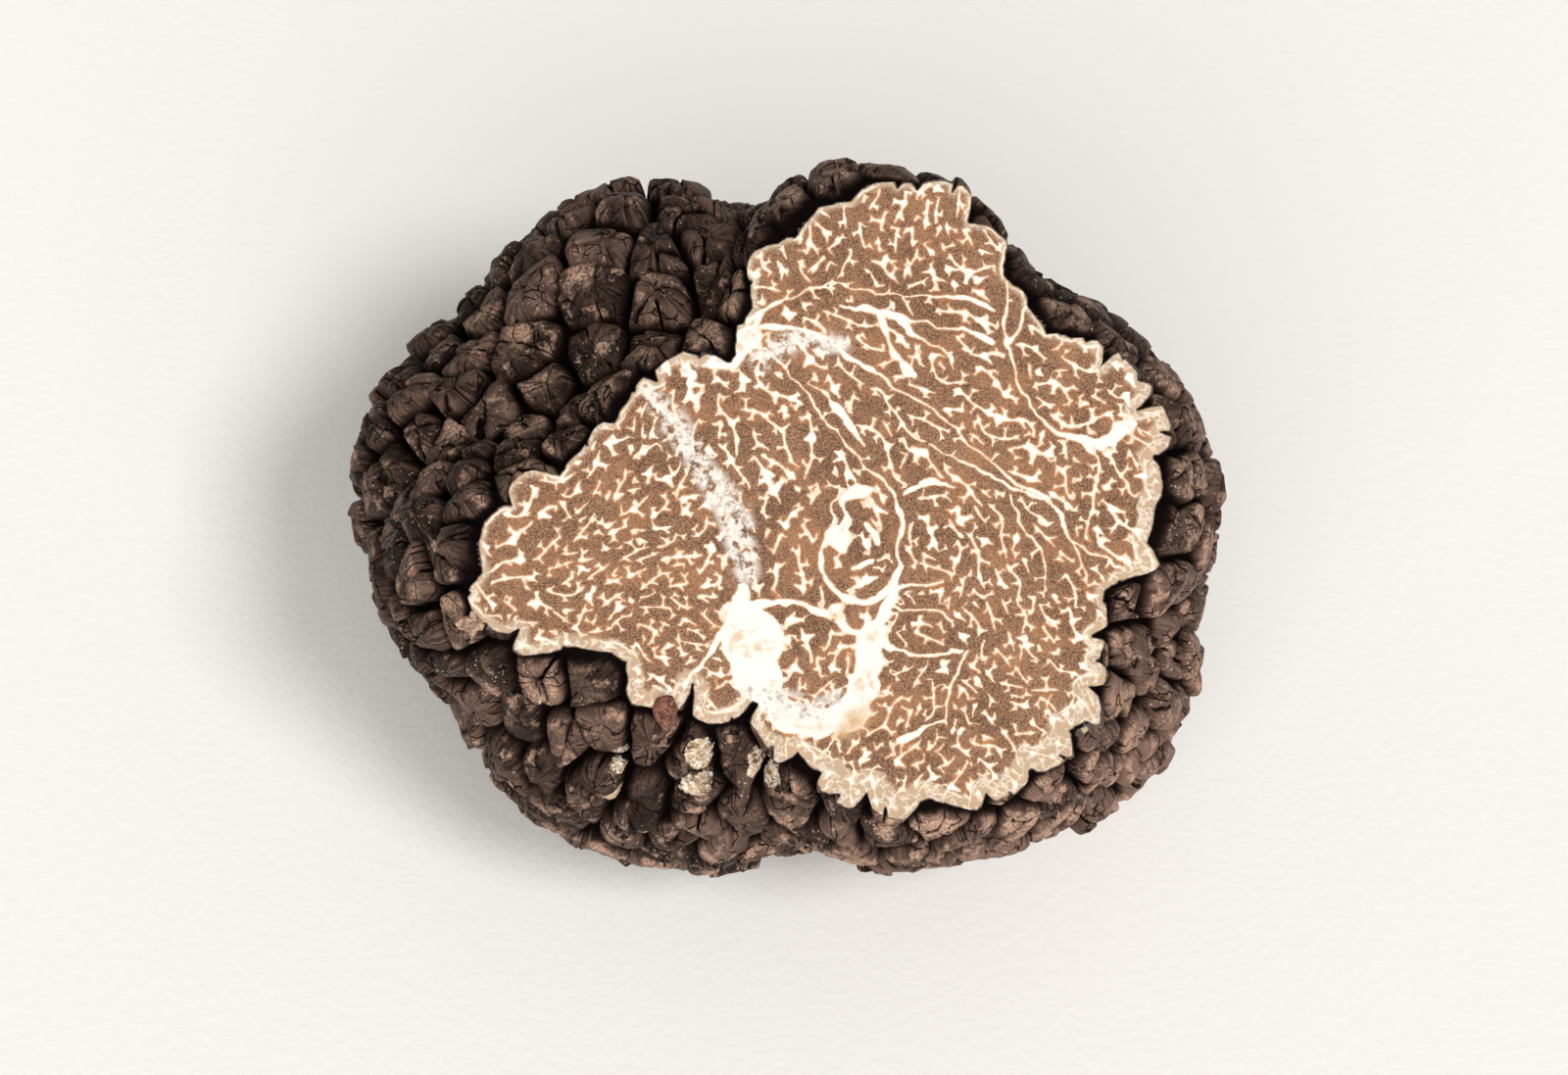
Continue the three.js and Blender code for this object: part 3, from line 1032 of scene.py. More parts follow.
def bit_material(name, colour):
    """Dry, wrinkled plant matter."""
    finish = Finish(name)
    place = finish.place()
    wrinkle = finish.noise(place, WRINKLE_CELLS, 4.0, 0.7)
    dry = finish.noise(place, DRY_CELLS, 3.0, 0.7)
    shaded = tuple(BIT_SHADE * part for part in colour[:3]) + (1.0,)
    skin = finish.mix(finish.ramp(wrinkle, 0.36, 0.60), shaded, colour)
    skin = finish.mix(finish.ramp(dry, 0.56, 0.70, 0.0, 0.5), skin, BIT_DUST)
    height = finish.plus(finish.times(wrinkle, WRINKLE_HEIGHT), finish.times(dry, DRY_HEIGHT))
    return finish.close(skin, BIT_ROUGHNESS, BIT_GLOSS, height, BIT_BUMP)


def floor_material():
    """Matt, warm white paper."""
    finish = Finish("paper")
    grain = finish.noise(finish.place(), 1.0)
    return finish.close(FLOOR_COLOUR, FLOOR_ROUGHNESS, 0.0, grain, FLOOR_BUMP)


# ---------------------------------------------------------------------------------------
# Pieces


def growth_to_world(warts):
    """The move that rolls the truffle forward and stands it where the solid is."""
    roll = np.array(Matrix.Rotation(LEAN, 3, "X"))
    lift = 1 + warts.peaks / np.linalg.norm(warts.centres, axis=1)
    peaks = (warts.centres * lift[:, None]) @ roll.T
    floor = peaks[:, 2].min() + RESTING_DEPTH
    kept = peaks[(warts.centres * lift[:, None]) @ CUT_NORMAL < CUT_HEIGHT]
    low = kept.min(0)
    high = kept.max(0)
    return roll, -np.array([(low[0] + high[0]) / 2, (low[1] + high[1]) / 2, floor])


def cut_axes():
    """The directions across and up the cut."""
    across = unit(np.array([1.0, 0.0, 0.0]) - CUT_NORMAL[0] * CUT_NORMAL)
    return across, np.cross(CUT_NORMAL, across)


def cut_places(points, roll, place):
    """How far across and up the cut points of the standing truffle are, in millimetres."""
    across, up = cut_axes()
    grown = (points - place) @ roll
    return np.stack([grown @ across, grown @ up], 1)


def deselect_all():
    """Nothing selected and nothing active."""
    bpy.ops.object.select_all(action="DESELECT")
    bpy.context.view_layer.objects.active = None


def make_active(thing):
    """Select one object alone."""
    deselect_all()
    thing.select_set(True)
    bpy.context.view_layer.objects.active = thing


def read_points(mesh):
    """The mesh's vertices as an array."""
    flat = np.empty(3 * len(mesh.vertices), np.float32)
    mesh.vertices.foreach_get("co", flat)
    return flat.reshape(-1, 3).astype(float)


def write_points(mesh, points):
    """Move the mesh's vertices to points in millimetres."""
    mesh.vertices.foreach_set("co", (points * MM).astype(np.float32).ravel())
    mesh.update()


def read_vectors(mesh, name):
    """One of the mesh's vector attributes as an array."""
    flat = np.empty(3 * len(mesh.vertices), np.float32)
    mesh.attributes[name].data.foreach_get("vector", flat)
    return flat.reshape(-1, 3).astype(float)


def store(mesh, name, values):
    """Keep a number or a vector for each vertex."""
    if values.ndim == 2:
        layer = mesh.attributes.new(name, "FLOAT_VECTOR", "POINT")
        layer.data.foreach_set("vector", values.astype(np.float32).ravel())
    else:
        layer = mesh.attributes.new(name, "FLOAT", "POINT")
        layer.data.foreach_set("value", values.astype(np.float32))


def slice_above(point, normal):
    """Cut the active object with a plane and drop what is above it."""
    bpy.ops.object.mode_set(mode="EDIT")
    bpy.ops.mesh.select_all(action="SELECT")
    bpy.ops.mesh.bisect(plane_co=point, plane_no=normal, clear_outer=True, use_fill=False)
    bpy.ops.object.mode_set(mode="OBJECT")


def grow_rind(sizes, warts, roll, place):
    """Sphere, lobes and warts, cut by the knife and worn where it rests."""
    detail = sizes.detail
    bpy.ops.mesh.primitive_ico_sphere_add(subdivisions=detail, radius=1)
    piece = bpy.context.active_object
    piece.name = PIECE
    mesh = piece.data
    skin = skin_points(unit(read_points(mesh)))
    table = {
        "peak": sizes.wart_peak / MM,
        "shoulder": sizes.wart_shoulder / MM,
        "valley": sizes.wart_valley / MM,
        "groove": sizes.groove_width / MM,
        "crack": sizes.crack_depth / MM,
    }
    height, shade, own = relief(skin, warts, table)
    grown = skin + body_normals(skin) * height[:, None]
    over = grown @ CUT_NORMAL - CUT_HEIGHT + SPARED_DROP
    spare = (warts.centres[own] @ CUT_NORMAL < CUT_HEIGHT - SPARED_DEPTH) & (over > 0)
    grown -= CUT_NORMAL * np.where(spare, over, 0)[:, None]
    world = grown @ roll.T + place
    world[:, 2] = np.maximum(world[:, 2], 0)
    for name, values in shade.items():
        store(mesh, name, values)
    write_points(mesh, world)
    normal = roll @ CUT_NORMAL
    point = normal * (CUT_HEIGHT + place @ normal)
    make_active(piece)
    slice_above((point + FIRST_SLICE * normal) * MM, normal)
    share = sizes.rind_triangles * THINNING_SPARE / len(mesh.polygons)
    if share < 1:
        thinner = piece.modifiers.new("Thin", "DECIMATE")
        thinner.ratio = share
        bpy.ops.object.modifier_apply(modifier=thinner.name)
    slice_above(point * MM, normal)
    return piece


def smooth_line(band, step):
    """A smooth curve through a band's points, as points about a step apart."""
    points = np.array(band, float)
    ends = np.vstack([2 * points[0] - points[1], points, 2 * points[-1] - points[-2]])
    line = []
    for before, start, end, after in zip(ends, ends[1:], ends[2:], ends[3:]):
        for part in np.arange(0, 1, step / np.linalg.norm((end - start)[:2])):
            line.append(0.5 * (2 * start + (end - before) * part
                               + (2 * before - 5 * start + 4 * end - after) * part ** 2
                               + (3 * start - before - 3 * end + after) * part ** 3))
    line.append(points[-1])
    line = np.array(line)
    line[:, 2] = np.maximum(line[:, 2], VEIN_LEAST)
    return line


def cell_and_near(point, size):
    """The cell of a grid that a flat point is in, and that cell with the eight around it."""
    column, row = int(point[0] // size), int(point[1] // size)
    near = itertools.product((column - 1, column, column + 1), (row - 1, row, row + 1))
    return (column, row), near


class Soil:
    """A map of the cut: how deep inside it a place is, and how veins run there."""

    def __init__(self, outline, pairs):
        self.low = outline.min(0) - 1
        high = outline.max(0) + 1
        across = np.arange(self.low[0], high[0], GRAIN_STEP)
        up = np.arange(self.low[1], high[1], GRAIN_STEP)
        self.places = np.stack(np.meshgrid(across, up), 2).reshape(-1, 2)
        depth = distance_to(self.places, outline)
        self.depth = np.where(inside_outline(self.places, outline, pairs), depth, -depth)
        centres = np.array([centre for centre, *_ in GRAIN], float)
        gaps = np.linalg.norm(self.places[:, None] - centres, axis=2)
        weight = np.exp(-(gaps / GRAIN_REACH) ** 2) + 1e-9
        weight /= weight.sum(1, keepdims=True)
        turns = np.radians([2 * degrees for _, degrees, *_ in GRAIN])
        self.heading = np.arctan2(weight @ np.sin(turns), weight @ np.cos(turns)) / 2
        spread = np.column_stack([self.places, np.zeros(len(self.places))])
        self.heading += layered(spread, GRAIN_WAVES)
        self.apart = weight @ np.array([apart for _, _, apart, _ in GRAIN])
        self.length = weight @ np.array([length for *_, length in GRAIN])
        self.columns = len(across)

    def at(self, point):
        """The map's index for a place."""
        column, row = ((point - self.low) / GRAIN_STEP + 0.5).astype(int)
        return min(row * self.columns + column, len(self.places) - 1)


class Veins:
    """Veins laid so far, kept by place so that near ones are found quickly."""

    def __init__(self, soil):
        self.soil = soil
        self.cells = {}
        self.lines = []
        self.dice = np.random.default_rng(SEED)

    def gap(self, point, own):
        """Distance to the nearest laid point that isn't on one of our own lines, and it."""
        best, spot = FAR, None
        for cell in cell_and_near(point, VEIN_CELL)[1]:
            for other, owner in self.cells.get(cell, ()):
                if owner in own:
                    continue
                distance = math.hypot(other[0] - point[0], other[1] - point[1])
                if distance < best:
                    best, spot = distance, other
        return best, spot

    def keep(self, line):
        """Lay a line of (across, up, half width)."""
        owner = len(self.lines)
        self.lines.append(np.array(line))
        for point in line:
            cell, _ = cell_and_near(point, VEIN_CELL)
            self.cells.setdefault(cell, []).append((point, owner))
        return owner

    def run(self, start, heading, length, clear, own, bend):
        """Places of one vein as it grows, until it meets another or the rim."""
        place = np.array(start, float)
        line = []
        for _ in range(int(length / VEIN_STEP)):
            index = self.soil.at(place)
            if bend:
                wanted = self.soil.heading[index]
                if math.cos(wanted - heading) < 0:
                    wanted += math.pi
                turn = (wanted - heading + math.pi) % (2 * math.pi) - math.pi
                heading += VEIN_TURN * turn
            place = place + VEIN_STEP * np.array([math.cos(heading), math.sin(heading)])
            if self.soil.depth[self.soil.at(place)] < LEAST_DEPTH:
                break
            gap, spot = self.gap(place, own)
            if gap < clear * self.soil.apart[index]:
                if bend and self.dice.random() < JOIN_CHANCE and gap > JOIN_GAP:
                    line.append((place[0], place[1]))
                    line.append(tuple(spot[:2]))
                break
            line.append((place[0], place[1]))
        return line

    def widen(self, count, width):
        """Half widths of a thin line with swellings at chance places, and those places."""
        part = np.arange(count)
        widths = np.full(count, width)
        knots = []
        position = int(self.dice.integers(0, 3))
        while position < count:
            knots.append(position)
            away = (part - position) * VEIN_STEP / KNOT_REACH
            widths += LARGEST_KNOT * self.dice.random() ** KNOT_POWER * np.exp(-away ** 2)
            position += int(self.dice.integers(*KNOT_STEPS))
        to_tip = np.minimum(part + 1, count - part)
        return widths * np.clip(to_tip / TIP_POINTS, TIP_SHARE, 1), knots

    def sow(self, tries, spread, stretch, width, clear):
        """Grow veins from chance places that are far enough from the others."""
        soil = self.soil
        inner = np.flatnonzero(soil.depth > SOWN_DEPTH)
        for index in self.dice.choice(inner, tries):
            start = soil.places[index] + self.dice.uniform(-VEIN_NUDGE, VEIN_NUDGE, 2)
            gap, _ = self.gap(start, ())
            if gap < spread * soil.apart[index]:
                continue
            length = soil.length[index] * stretch * self.dice.uniform(*VEIN_LENGTHS) / 2
            own = {len(self.lines)}
            heading = soil.heading[index]
            ahead = self.run(start, heading, length, clear, own, True)
            behind = self.run(start, heading + math.pi, length, clear, own, True)
            places = behind[::-1] + [tuple(start)] + ahead
            if len(places) < 3:
                continue
            widths, knots = self.widen(len(places), width)
            widths *= soil.apart[index] / USUAL_GAP
            owner = self.keep(np.column_stack([np.array(places), widths]))
            self.barb(places, widths, knots, {owner})

    def branch(self, start, heading, length, width, own):
        """One straight branch that narrows to its tip: its place in the list, and its tip."""
        line = self.run(start, heading, length, BRANCH_GAP, own, False)
        if not line:
            return None, None
        whole = [tuple(start)] + line
        taper = np.linspace(1, BRANCH_TIP, len(whole))
        return self.keep(np.column_stack([np.array(whole), width * taper])), line[-1]

    def barb(self, places, widths, knots, own):
        """Side branches, some of them forked, that reach into the flesh from a vein's swellings."""
        side = self.dice.choice([-1, 1])
        for knot in knots:
            before = np.array(places[max(knot - 1, 0)])
            after = np.array(places[min(knot + 1, len(places) - 1)])
            heading = math.atan2(*(after - before)[::-1])
            heading += side * math.radians(self.dice.uniform(*BARB_TURNS))
            length = self.dice.uniform(*BARB_LENGTHS) + widths[knot]
            owner, tip = self.branch(places[knot], heading, length, widths[knot], own)
            if owner is not None:
                own = own | {owner}
                if self.dice.random() < FORK_CHANCE:
                    for spread in (-1, 1):
                        turn = heading + spread * math.radians(self.dice.uniform(*PRONG_TURNS))
                        reach = self.dice.uniform(*PRONG_LENGTHS)
                        prong, _ = self.branch(tip, turn, reach, PRONG_WIDTH, own)
                        own = own | {prong}
            side = -side


def grow_veins(outline, pairs):
    """The main veins as drawn, then long thin ones and short branched ones between them."""
    soil = Soil(outline, pairs)
    main = []
    for band in VEINS:
        line = smooth_line(band, VEIN_STEP)
        flat = np.column_stack([line[:, :2], np.zeros(len(line))])
        line[:, :2] += layered(flat, VEIN_SWAY, vector_noise)[:, :2]
        line[:, 2] *= VEIN_SHARE + layered(flat, VEIN_SWELL)
        main.append(line)
    islands = [smooth_line(band, VEIN_STEP) for band in GLEBA_ISLANDS]
    from_white = np.maximum(band_distance(soil.places, main), -band_distance(soil.places, islands))
    soil.depth = np.minimum(soil.depth, from_white + FROM_WHITE)
    veins = Veins(soil)
    for line in main:
        veins.keep(line)
    for owner, line in enumerate(main):
        knots = range(1, len(line), MAIN_KNOT_STEPS)
        knots = [knot for knot in knots if line[knot, 2] < BARBED_WIDTH]
        veins.barb(line[:, :2], line[:, 2] + BARB_SPARE, knots, {owner})
    for batch in FINE_VEINS:
        veins.sow(*batch)
    return main, islands, veins.lines[len(main):]


def sparse(points, apart):
    """The points that aren't near an earlier one that is kept."""
    kept, cells = [], {}
    for point in points:
        own, near = cell_and_near(point, apart)
        others = [other for cell in near for other in cells.get(cell, ())]
        if all(math.hypot(*(other - point)) > apart for other in others):
            kept.append(point)
            cells.setdefault(own, []).append(point)
    return np.array(kept)


def gap_middles(places, pairs):
    """Points halfway between neighbouring veins, narrow gaps first."""
    corners, edges, *_ = geometry.delaunay_2d_cdt(
        [Vector(point) for point in places], pairs, [], 0, CLOSE)
    corners = np.array([tuple(corner) for corner in corners])
    edges = np.array(edges)
    lengths = np.linalg.norm(corners[edges[:, 0]] - corners[edges[:, 1]], axis=1)
    order = np.argsort(lengths, kind="stable")
    order = order[(lengths[order] > GAP_SIZES[0]) & (lengths[order] < GAP_SIZES[1])]
    return sparse(corners[edges[order]].mean(1), MIDDLE_GAP)


def line_seeds(outline, lines):
    """Vertices in rows along the veins, merged where they meet, and the pairs that follow them."""
    kept, pairs, cells = [], [], {}
    for line in lines:
        clear = distance_to(line, outline) > RIM_CLEAR
        last = None
        for point, good in zip(line[:, :2], clear):
            if not good:
                last = None
                continue
            own, near = cell_and_near(point, SEED_CELL)
            others = [other for cell in near for other in cells.get(cell, ())]
            close = [other for other in others if math.hypot(*(kept[other] - point)) < SEED_MERGE]
            if close:
                spot = close[0]
            else:
                spot = len(kept)
                kept.append(point)
                cells.setdefault(own, []).append(spot)
            if last is not None and last != spot:
                pairs.append((last, spot))
            last = spot
    return np.array(kept), pairs


def flesh_seeds(outline, lines):
    """Inner vertices of the flesh: rows along the veins, joined in pairs, and an even grid."""
    kept, pairs = line_seeds(outline, lines)
    middles = gap_middles(kept, pairs)
    free = distance_to(middles, kept) > MIDDLE_CLEAR
    middles = middles[free & (distance_to(middles, outline) > MIDDLE_RIM_CLEAR)]
    low, high = outline.min(0), outline.max(0)
    grid = []
    for row, up in enumerate(np.arange(low[1], high[1], FLESH_GRID * ROW_SHARE)):
        shift = FLESH_GRID / 2 * (row % 2)
        grid += [(across + shift, up) for across in np.arange(low[0], high[0], FLESH_GRID)]
    grid = np.array(grid)
    laid = np.vstack([kept, middles])
    free = distance_to(grid, laid) > GRID_CLEAR
    grid = grid[free & (distance_to(grid, outline) > RIM_CLEAR)]
    return np.vstack([laid, grid]), np.array(pairs)


def inside_outline(points, outline, pairs):
    """Which flat points an odd number of the outline's edges lie beside."""
    starts, ends = outline[pairs[:, 0]], outline[pairs[:, 1]]
    inside = np.zeros(len(points), bool)
    for start, end in zip(starts, ends):
        between = (start[1] > points[:, 1]) != (end[1] > points[:, 1])
        rows = np.flatnonzero(between)
        slope = (end[0] - start[0]) / (end[1] - start[1] + 1e-12)
        crossing = start[0] + (points[rows, 1] - start[1]) * slope
        inside[rows] ^= points[rows, 0] > crossing
    return inside


def flat_tree(points):
    """A search tree of flat points."""
    tree = kdtree.KDTree(len(points))
    for index, point in enumerate(points):
        tree.insert((point[0], point[1], 0), index)
    tree.balance()
    return tree


def distance_to(points, others):
    """Distance from each flat point to the nearest of the others."""
    tree = flat_tree(others)
    return np.array([tree.find((point[0], point[1], 0))[2] for point in points])


def vein_distance(points, line):
    """Distance to the edge of vein points of (across, up, half width), rounded where they meet."""
    tree = flat_tree(line)
    values = np.empty(len(points))
    for index, point in enumerate(points):
        near = tree.find_n((point[0], point[1], 0), NEAR_POINTS)
        total = sum(math.exp((line[spot, 2] - away) / VEIN_ROUND) for _, spot, away in near)
        values[index] = -VEIN_ROUND * math.log(total + 1e-12)
    return values


def linked_parts(verts, edges):
    """Groups of vertices that edges join, the largest first."""
    around = {vert: [] for vert in verts}
    for edge in edges:
        first, second = edge.verts
        around[first].append(second)
        around[second].append(first)
    parts = []
    left = dict.fromkeys(sorted(around, key=lambda vert: vert.index))
    while left:
        part = [left.popitem()[0]]
        for vert in part:
            for other in around[vert]:
                if other in left:
                    del left[other]
                    part.append(other)
        parts.append(part)
    return sorted(parts, key=len, reverse=True)


def largest_patch(faces):
    """The largest group of new faces that touch along edges."""
    left = set(faces)
    best = []
    for first in faces:
        if first not in left:
            continue
        left.discard(first)
        patch = [first]
        for face in patch:
            for other in {near for edge in face.edges for near in edge.link_faces} & left:
                left.discard(other)
                patch.append(other)
        best = max(best, patch, key=len)
    return best


def clear_scraps(shell):
    """Triangles alone, and only the largest part of the rind."""
    bmesh.ops.triangulate(shell, faces=[face for face in shell.faces if len(face.verts) > 3])
    parts = linked_parts(shell.verts, shell.edges)
    spare = [vert for part in parts[1:] for vert in part]
    bmesh.ops.delete(shell, geom=spare, context="VERTS")


def cut_edges(shell):
    """The edges of the cut, once the small holes beside it are filled."""
    edges = [edge for edge in shell.edges if edge.is_boundary]
    rings = linked_parts({vert for edge in edges for vert in edge.verts}, edges)
    for ring in rings[1:]:
        members = set(ring)
        bmesh.ops.triangle_fill(
            shell, use_beauty=True, edges=[edge for edge in edges if edge.verts[0] in members])
    return [edge for edge in edges if edge.is_boundary]


def clear_loose(shell):
    """Drop edges and vertices that belong to no face."""
    wires = [edge for edge in shell.edges if edge.is_wire]
    bmesh.ops.delete(shell, geom=wires, context="EDGES")
    loose = [vert for vert in shell.verts if not vert.link_edges]
    bmesh.ops.delete(shell, geom=loose, context="VERTS")


def lay_flesh(piece, roll, place):
    """Close the cut with a sheet of flesh that shares the rind's edge, and mark it."""
    across, up = cut_axes()
    mesh = piece.data
    shell = bmesh.new()
    shell.from_mesh(mesh)
    clear_scraps(shell)
    edges = cut_edges(shell)
    border = list({vert for edge in edges for vert in edge.verts})
    border.sort(key=lambda vert: vert.index)
    order = {vert: index for index, vert in enumerate(border)}
    outline = cut_places(np.array([vert.co for vert in border]) / MM, roll, place)
    pairs = np.array([[order[vert] for vert in edge.verts] for edge in edges])
    veins = grow_veins(outline, pairs)
    seeds, joins = flesh_seeds(outline, veins[0] + veins[2])
    flat = np.vstack([outline, seeds])
    joins = np.vstack([pairs, joins + len(outline)])
    corners, _, faces, sources, _, _ = geometry.delaunay_2d_cdt(
        [Vector(point) for point in flat], joins.tolist(), [], 0, CLOSE)
    middles = np.array([sum((corners[index] for index in face), Vector((0, 0))) / 3 for face in faces])
    faces = itertools.compress(faces, inside_outline(middles, outline, pairs))
    verts = {}
    normal = CUT_NORMAL * CUT_HEIGHT

    def vert_at(index):
        """The mesh vertex for one corner of the sheet."""
        if index not in verts:
            source = min(sources[index], default=len(flat))
            if source < len(border):
                verts[index] = border[source]
            else:
                spot = corners[index][0] * across + corners[index][1] * up + normal
                verts[index] = shell.verts.new((roll @ spot + place) * MM)
        return verts[index]

    sheet = []
    for face in faces:
        members = [vert_at(index) for index in face]
        if len(set(members)) == 3 and not shell.faces.get(members):
            sheet.append(shell.faces.new(members))
    for face in largest_patch(sheet):
        face.material_index = FLESH_SLOT
    flesh = {vert for face in sheet if face.material_index for vert in face.verts}
    layers = shell.verts.layers
    for vert in set(verts.values()) - flesh - set(border):
        vert[layers.float["rise"]] = 1
        vert[layers.float_vector["growth"]] = (np.array(vert.co) / MM - place) @ roll
    clear_loose(shell)
    for edge in edges:
        edge.smooth = False
    shell.verts.index_update()
    own = np.array(sorted(vert.index for vert in flesh))
    edge_own = np.array([vert.index for vert in border if vert in flesh])
    shell.to_mesh(mesh)
    shell.free()
    mark_flesh(mesh, own, edge_own, veins, roll, place)


def mark_flesh(mesh, own, edge_own, veins, roll, place):
    """Store what the flesh's finish needs at its vertices, and make it gently uneven."""
    world = read_points(mesh) / MM
    flat = cut_places(world, roll, place)
    outline = flat[edge_own]
    flat = flat[own]
    rim = distance_to(flat, outline)
    main, islands, fine = veins
    vein = np.maximum(band_distance(flat, main), -band_distance(flat, islands))
    vein = np.minimum(vein, vein_distance(flat, np.vstack(fine)))
    frost = 1 - smooth_step(*FROST_EDGE, band_distance(flat, FROST))
    cream = np.full(len(flat), USUAL_RIM)
    for centre, reach, extra in WIDE_RIM:
        gap = np.linalg.norm(flat - np.array(centre, float), axis=1)
        cream += extra * np.exp(-(gap / reach) ** 2)
    stain = 1 - smooth_step(*STAIN_EDGE, band_distance(flat, STAINS))
    marks = {"rim": rim, "vein": vein, "frost": frost, "cream": cream, "stain": stain}
    for name, values in marks.items():
        column = np.zeros(len(world))
        column[own] = values
        store(mesh, name, column)
    spread = np.column_stack([flat, np.zeros(len(flat))])
    swell = layered(spread, CUT_WAVES) * smooth_step(0.0, LEVEL_RIM, rim)
    world[own] += (roll @ CUT_NORMAL) * swell[:, None]
    write_points(mesh, world)


def map_for_bake(mesh, roll, place):
    """A bake map: the cut laid flat and large, and the rind in five even sides."""
    corners = np.empty(len(mesh.loops), np.int32)
    mesh.loops.foreach_get("vertex_index", corners)
    slots = np.empty(len(mesh.polygons), np.int32)
    mesh.polygons.foreach_get("material_index", slots)
    faces = corners.reshape(-1, 3)
    flat = cut_places(read_points(mesh) / MM, roll, place)
    is_flesh = slots == FLESH_SLOT
    low = flat[faces[is_flesh]].min((0, 1))
    skin = read_vectors(mesh, "growth")[faces]
    middle = skin.mean(1)
    scores = np.stack([side * middle[:, axis] for axis, side in BAKE_SIDES], 1)
    chosen = scores.argmax(1)
    spots = np.empty((len(faces), 3, 2))
    spots[is_flesh] = (flat[faces[is_flesh]] - low) * BAKE_FLESH[2] + BAKE_FLESH[:2]
    for index, ((axis, side), centre) in enumerate(BAKE_SIDES.items()):
        ours = (chosen == index) & ~is_flesh
        depth = skin[ours][:, :, axis] * side
        wide = skin[ours][:, :, 1 if axis == 0 else 0]
        tall = skin[ours][:, :, 1 if axis == 2 else 2]
        angles = np.stack([np.arctan2(wide, depth), np.arctan2(tall, depth)], 2) * 4 / np.pi
        spots[ours] = angles * BAKE_UNIT + centre
    layer = mesh.uv_layers.new(name="OFBake")
    layer.data.foreach_set("uv", spots.astype(np.float32).ravel())


class TRUFFLE_OT_body(bpy.types.Operator):
    """Grow the warty rind, cut it and close the cut with flesh"""

    bl_idname = "truffle.body"
    bl_label = "Body"

    def execute(self, context):
        warts = Warts()
        roll, place = growth_to_world(warts)
        piece = grow_rind(context.scene.truffle_sizes, warts, roll, place)
        lay_flesh(piece, roll, place)
        map_for_bake(piece.data, roll, place)
        piece.data.materials.append(rind_material(context.scene.truffle_colours))
        piece.data.materials.append(flesh_material(context.scene.truffle_colours))
        make_active(piece)
        bpy.ops.object.shade_smooth(keep_sharp_edges=True)
        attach(piece, "root")
        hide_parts(NODE)
        return {"FINISHED"}


def loose_bit(name, spot, radii, rough, seat):
    """A lumpy scrap, narrower below, half sunk from its place towards its seat on the rind."""
    deselect_all()
    bpy.ops.mesh.primitive_ico_sphere_add(subdivisions=BIT_DETAIL, radius=1)
    bit = bpy.context.active_object
    bit.name = name
    points = read_points(bit.data)
    bulge = 1 + rough * layered(points * radii + spot, BIT_WAVES)
    narrow = 1 - BIT_TAPER * smooth_step(0.0, 1.0, -points[:, 2])
    points *= bulge[:, None] * np.array(radii)
    points[:, 0] *= narrow
    turn = np.array(Matrix.Rotation(BIT_TURN, 3, "X"))
    points = points @ turn.T + (np.array(seat) / MM + spot) / 2
    write_points(bit.data, points)
    bpy.ops.object.shade_smooth()
    return bit


class TRUFFLE_OT_bits(bpy.types.Operator):
    """Set the seed husk and the torn chip on the rind"""

    bl_idname = "truffle.bits"
    bl_label = "Loose bits"

    def execute(self, context):
        body = bpy.data.objects[PIECE]
        colours = context.scene.truffle_colours
        for name, spot, radii, rough, colour in BITS:
            found, seat, _, _ = body.closest_point_on_mesh(Vector(spot) * MM)
            if not found:
                raise RuntimeError(f"no rind under {name}")
            bit = loose_bit(name, spot, radii, rough, seat)
            bit.data.materials.append(bit_material(name, linear(getattr(colours, colour))))
            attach(bit, "root")
        return {"FINISHED"}


def aim_camera(scene, centre):
    """A long lens that looks down on the cut."""
    up = Vector((0, math.sin(CAMERA_HEIGHT), math.cos(CAMERA_HEIGHT)))
    away = Vector((0, -math.cos(CAMERA_HEIGHT), math.sin(CAMERA_HEIGHT)))
    data = bpy.data.cameras.new("camera")
    data.lens = CAMERA_LENS
    camera = bpy.data.objects.new("camera", data)
    scene.collection.objects.link(camera)
    camera.location = centre - up * CAMERA_DROP + away * CAMERA_DISTANCE
    camera.rotation_euler = (math.pi / 2 - CAMERA_HEIGHT, 0, 0)
    scene.camera = camera


def hang_lamps(scene, centre):
    """The lamps around the truffle, each aimed at it."""
    for name, heading, height, width, strength in LAMPS:
        light = bpy.data.lights.new(name, "SUN")
        light.angle = math.radians(width)
        light.energy = strength
        lamp = bpy.data.objects.new(name, light)
        scene.collection.objects.link(lamp)
        rise = Matrix.Rotation(math.radians(-height), 3, "Y")
        towards = Matrix.Rotation(math.radians(heading), 3, "Z") @ rise @ Vector((1, 0, 0))
        lamp.location = centre + towards * LAMP_DISTANCE
        lamp.rotation_euler = towards.to_track_quat("Z", "Y").to_euler()


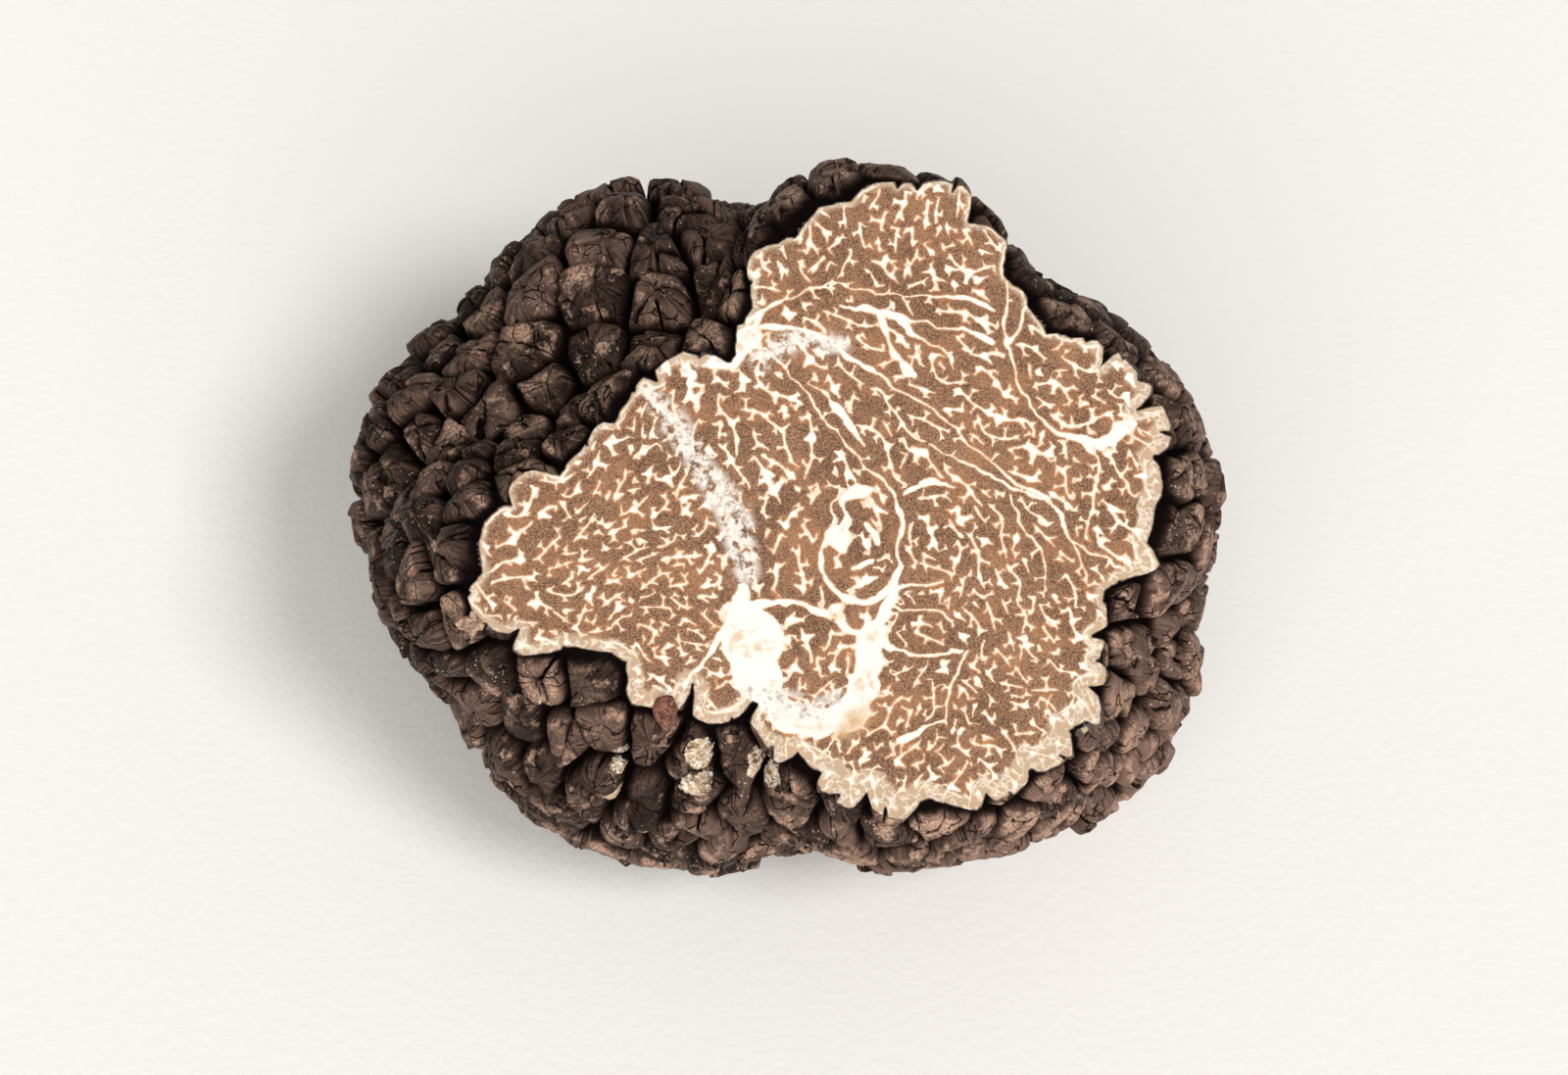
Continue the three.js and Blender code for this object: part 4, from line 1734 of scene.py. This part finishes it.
def light_sky(scene):
    """An even, faint light from all around."""
    world = bpy.data.worlds.new("studio")
    world.use_nodes = True
    sky = world.node_tree.nodes["Background"]
    sky.inputs["Color"].default_value = SKY_COLOUR
    sky.inputs["Strength"].default_value = WORLD_STRENGTH
    scene.world = world
    scene.view_settings.view_transform = "Standard"


class TRUFFLE_OT_stage(bpy.types.Operator):
    """Lay the pale floor, hang the soft lights and aim the camera"""

    bl_idname = "truffle.stage"
    bl_label = "Stage"

    def execute(self, context):
        _, place = growth_to_world(Warts())
        centre = Vector(place * MM)
        bpy.ops.mesh.primitive_plane_add(size=FLOOR_SIZE)
        floor = bpy.context.active_object
        floor.name = "floor"
        floor.data.materials.append(floor_material())
        aim_camera(context.scene, centre)
        hang_lamps(context.scene, centre)
        light_sky(context.scene)
        return {"FINISHED"}


class TRUFFLE_PT_panel(bpy.types.Panel):
    """Sizes, colours and the steps that make the truffle"""

    bl_label = "Truffle"
    bl_idname = "TRUFFLE_PT_panel"
    bl_space_type = "VIEW_3D"
    bl_region_type = "UI"
    bl_category = "Truffle"

    def draw(self, context):
        for name in TruffleSizes.__annotations__:
            self.layout.prop(context.scene.truffle_sizes, name)
        for name in TruffleColours.__annotations__:
            self.layout.prop(context.scene.truffle_colours, name)
        for step in STEPS:
            self.layout.operator(step.bl_idname)


STEPS = (TRUFFLE_OT_body, TRUFFLE_OT_bits, TRUFFLE_OT_stage)
CLASSES = (TruffleSizes, TruffleColours, *STEPS, TRUFFLE_PT_panel)


def register():
    """Make the classes and the scene's settings known."""
    for item in CLASSES:
        bpy.utils.register_class(item)
    bpy.types.Scene.truffle_sizes = PointerProperty(type=TruffleSizes)
    bpy.types.Scene.truffle_colours = PointerProperty(type=TruffleColours)


def unregister():
    """Take the settings and the classes away again."""
    del bpy.types.Scene.truffle_colours
    del bpy.types.Scene.truffle_sizes
    for item in reversed(CLASSES):
        bpy.utils.unregister_class(item)


def main():
    """Make the whole scene."""
    register()
    bpy.ops.truffle.body()
    bpy.ops.truffle.bits()
    bpy.ops.truffle.stage()
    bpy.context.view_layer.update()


if __name__ == "__main__":
    main()
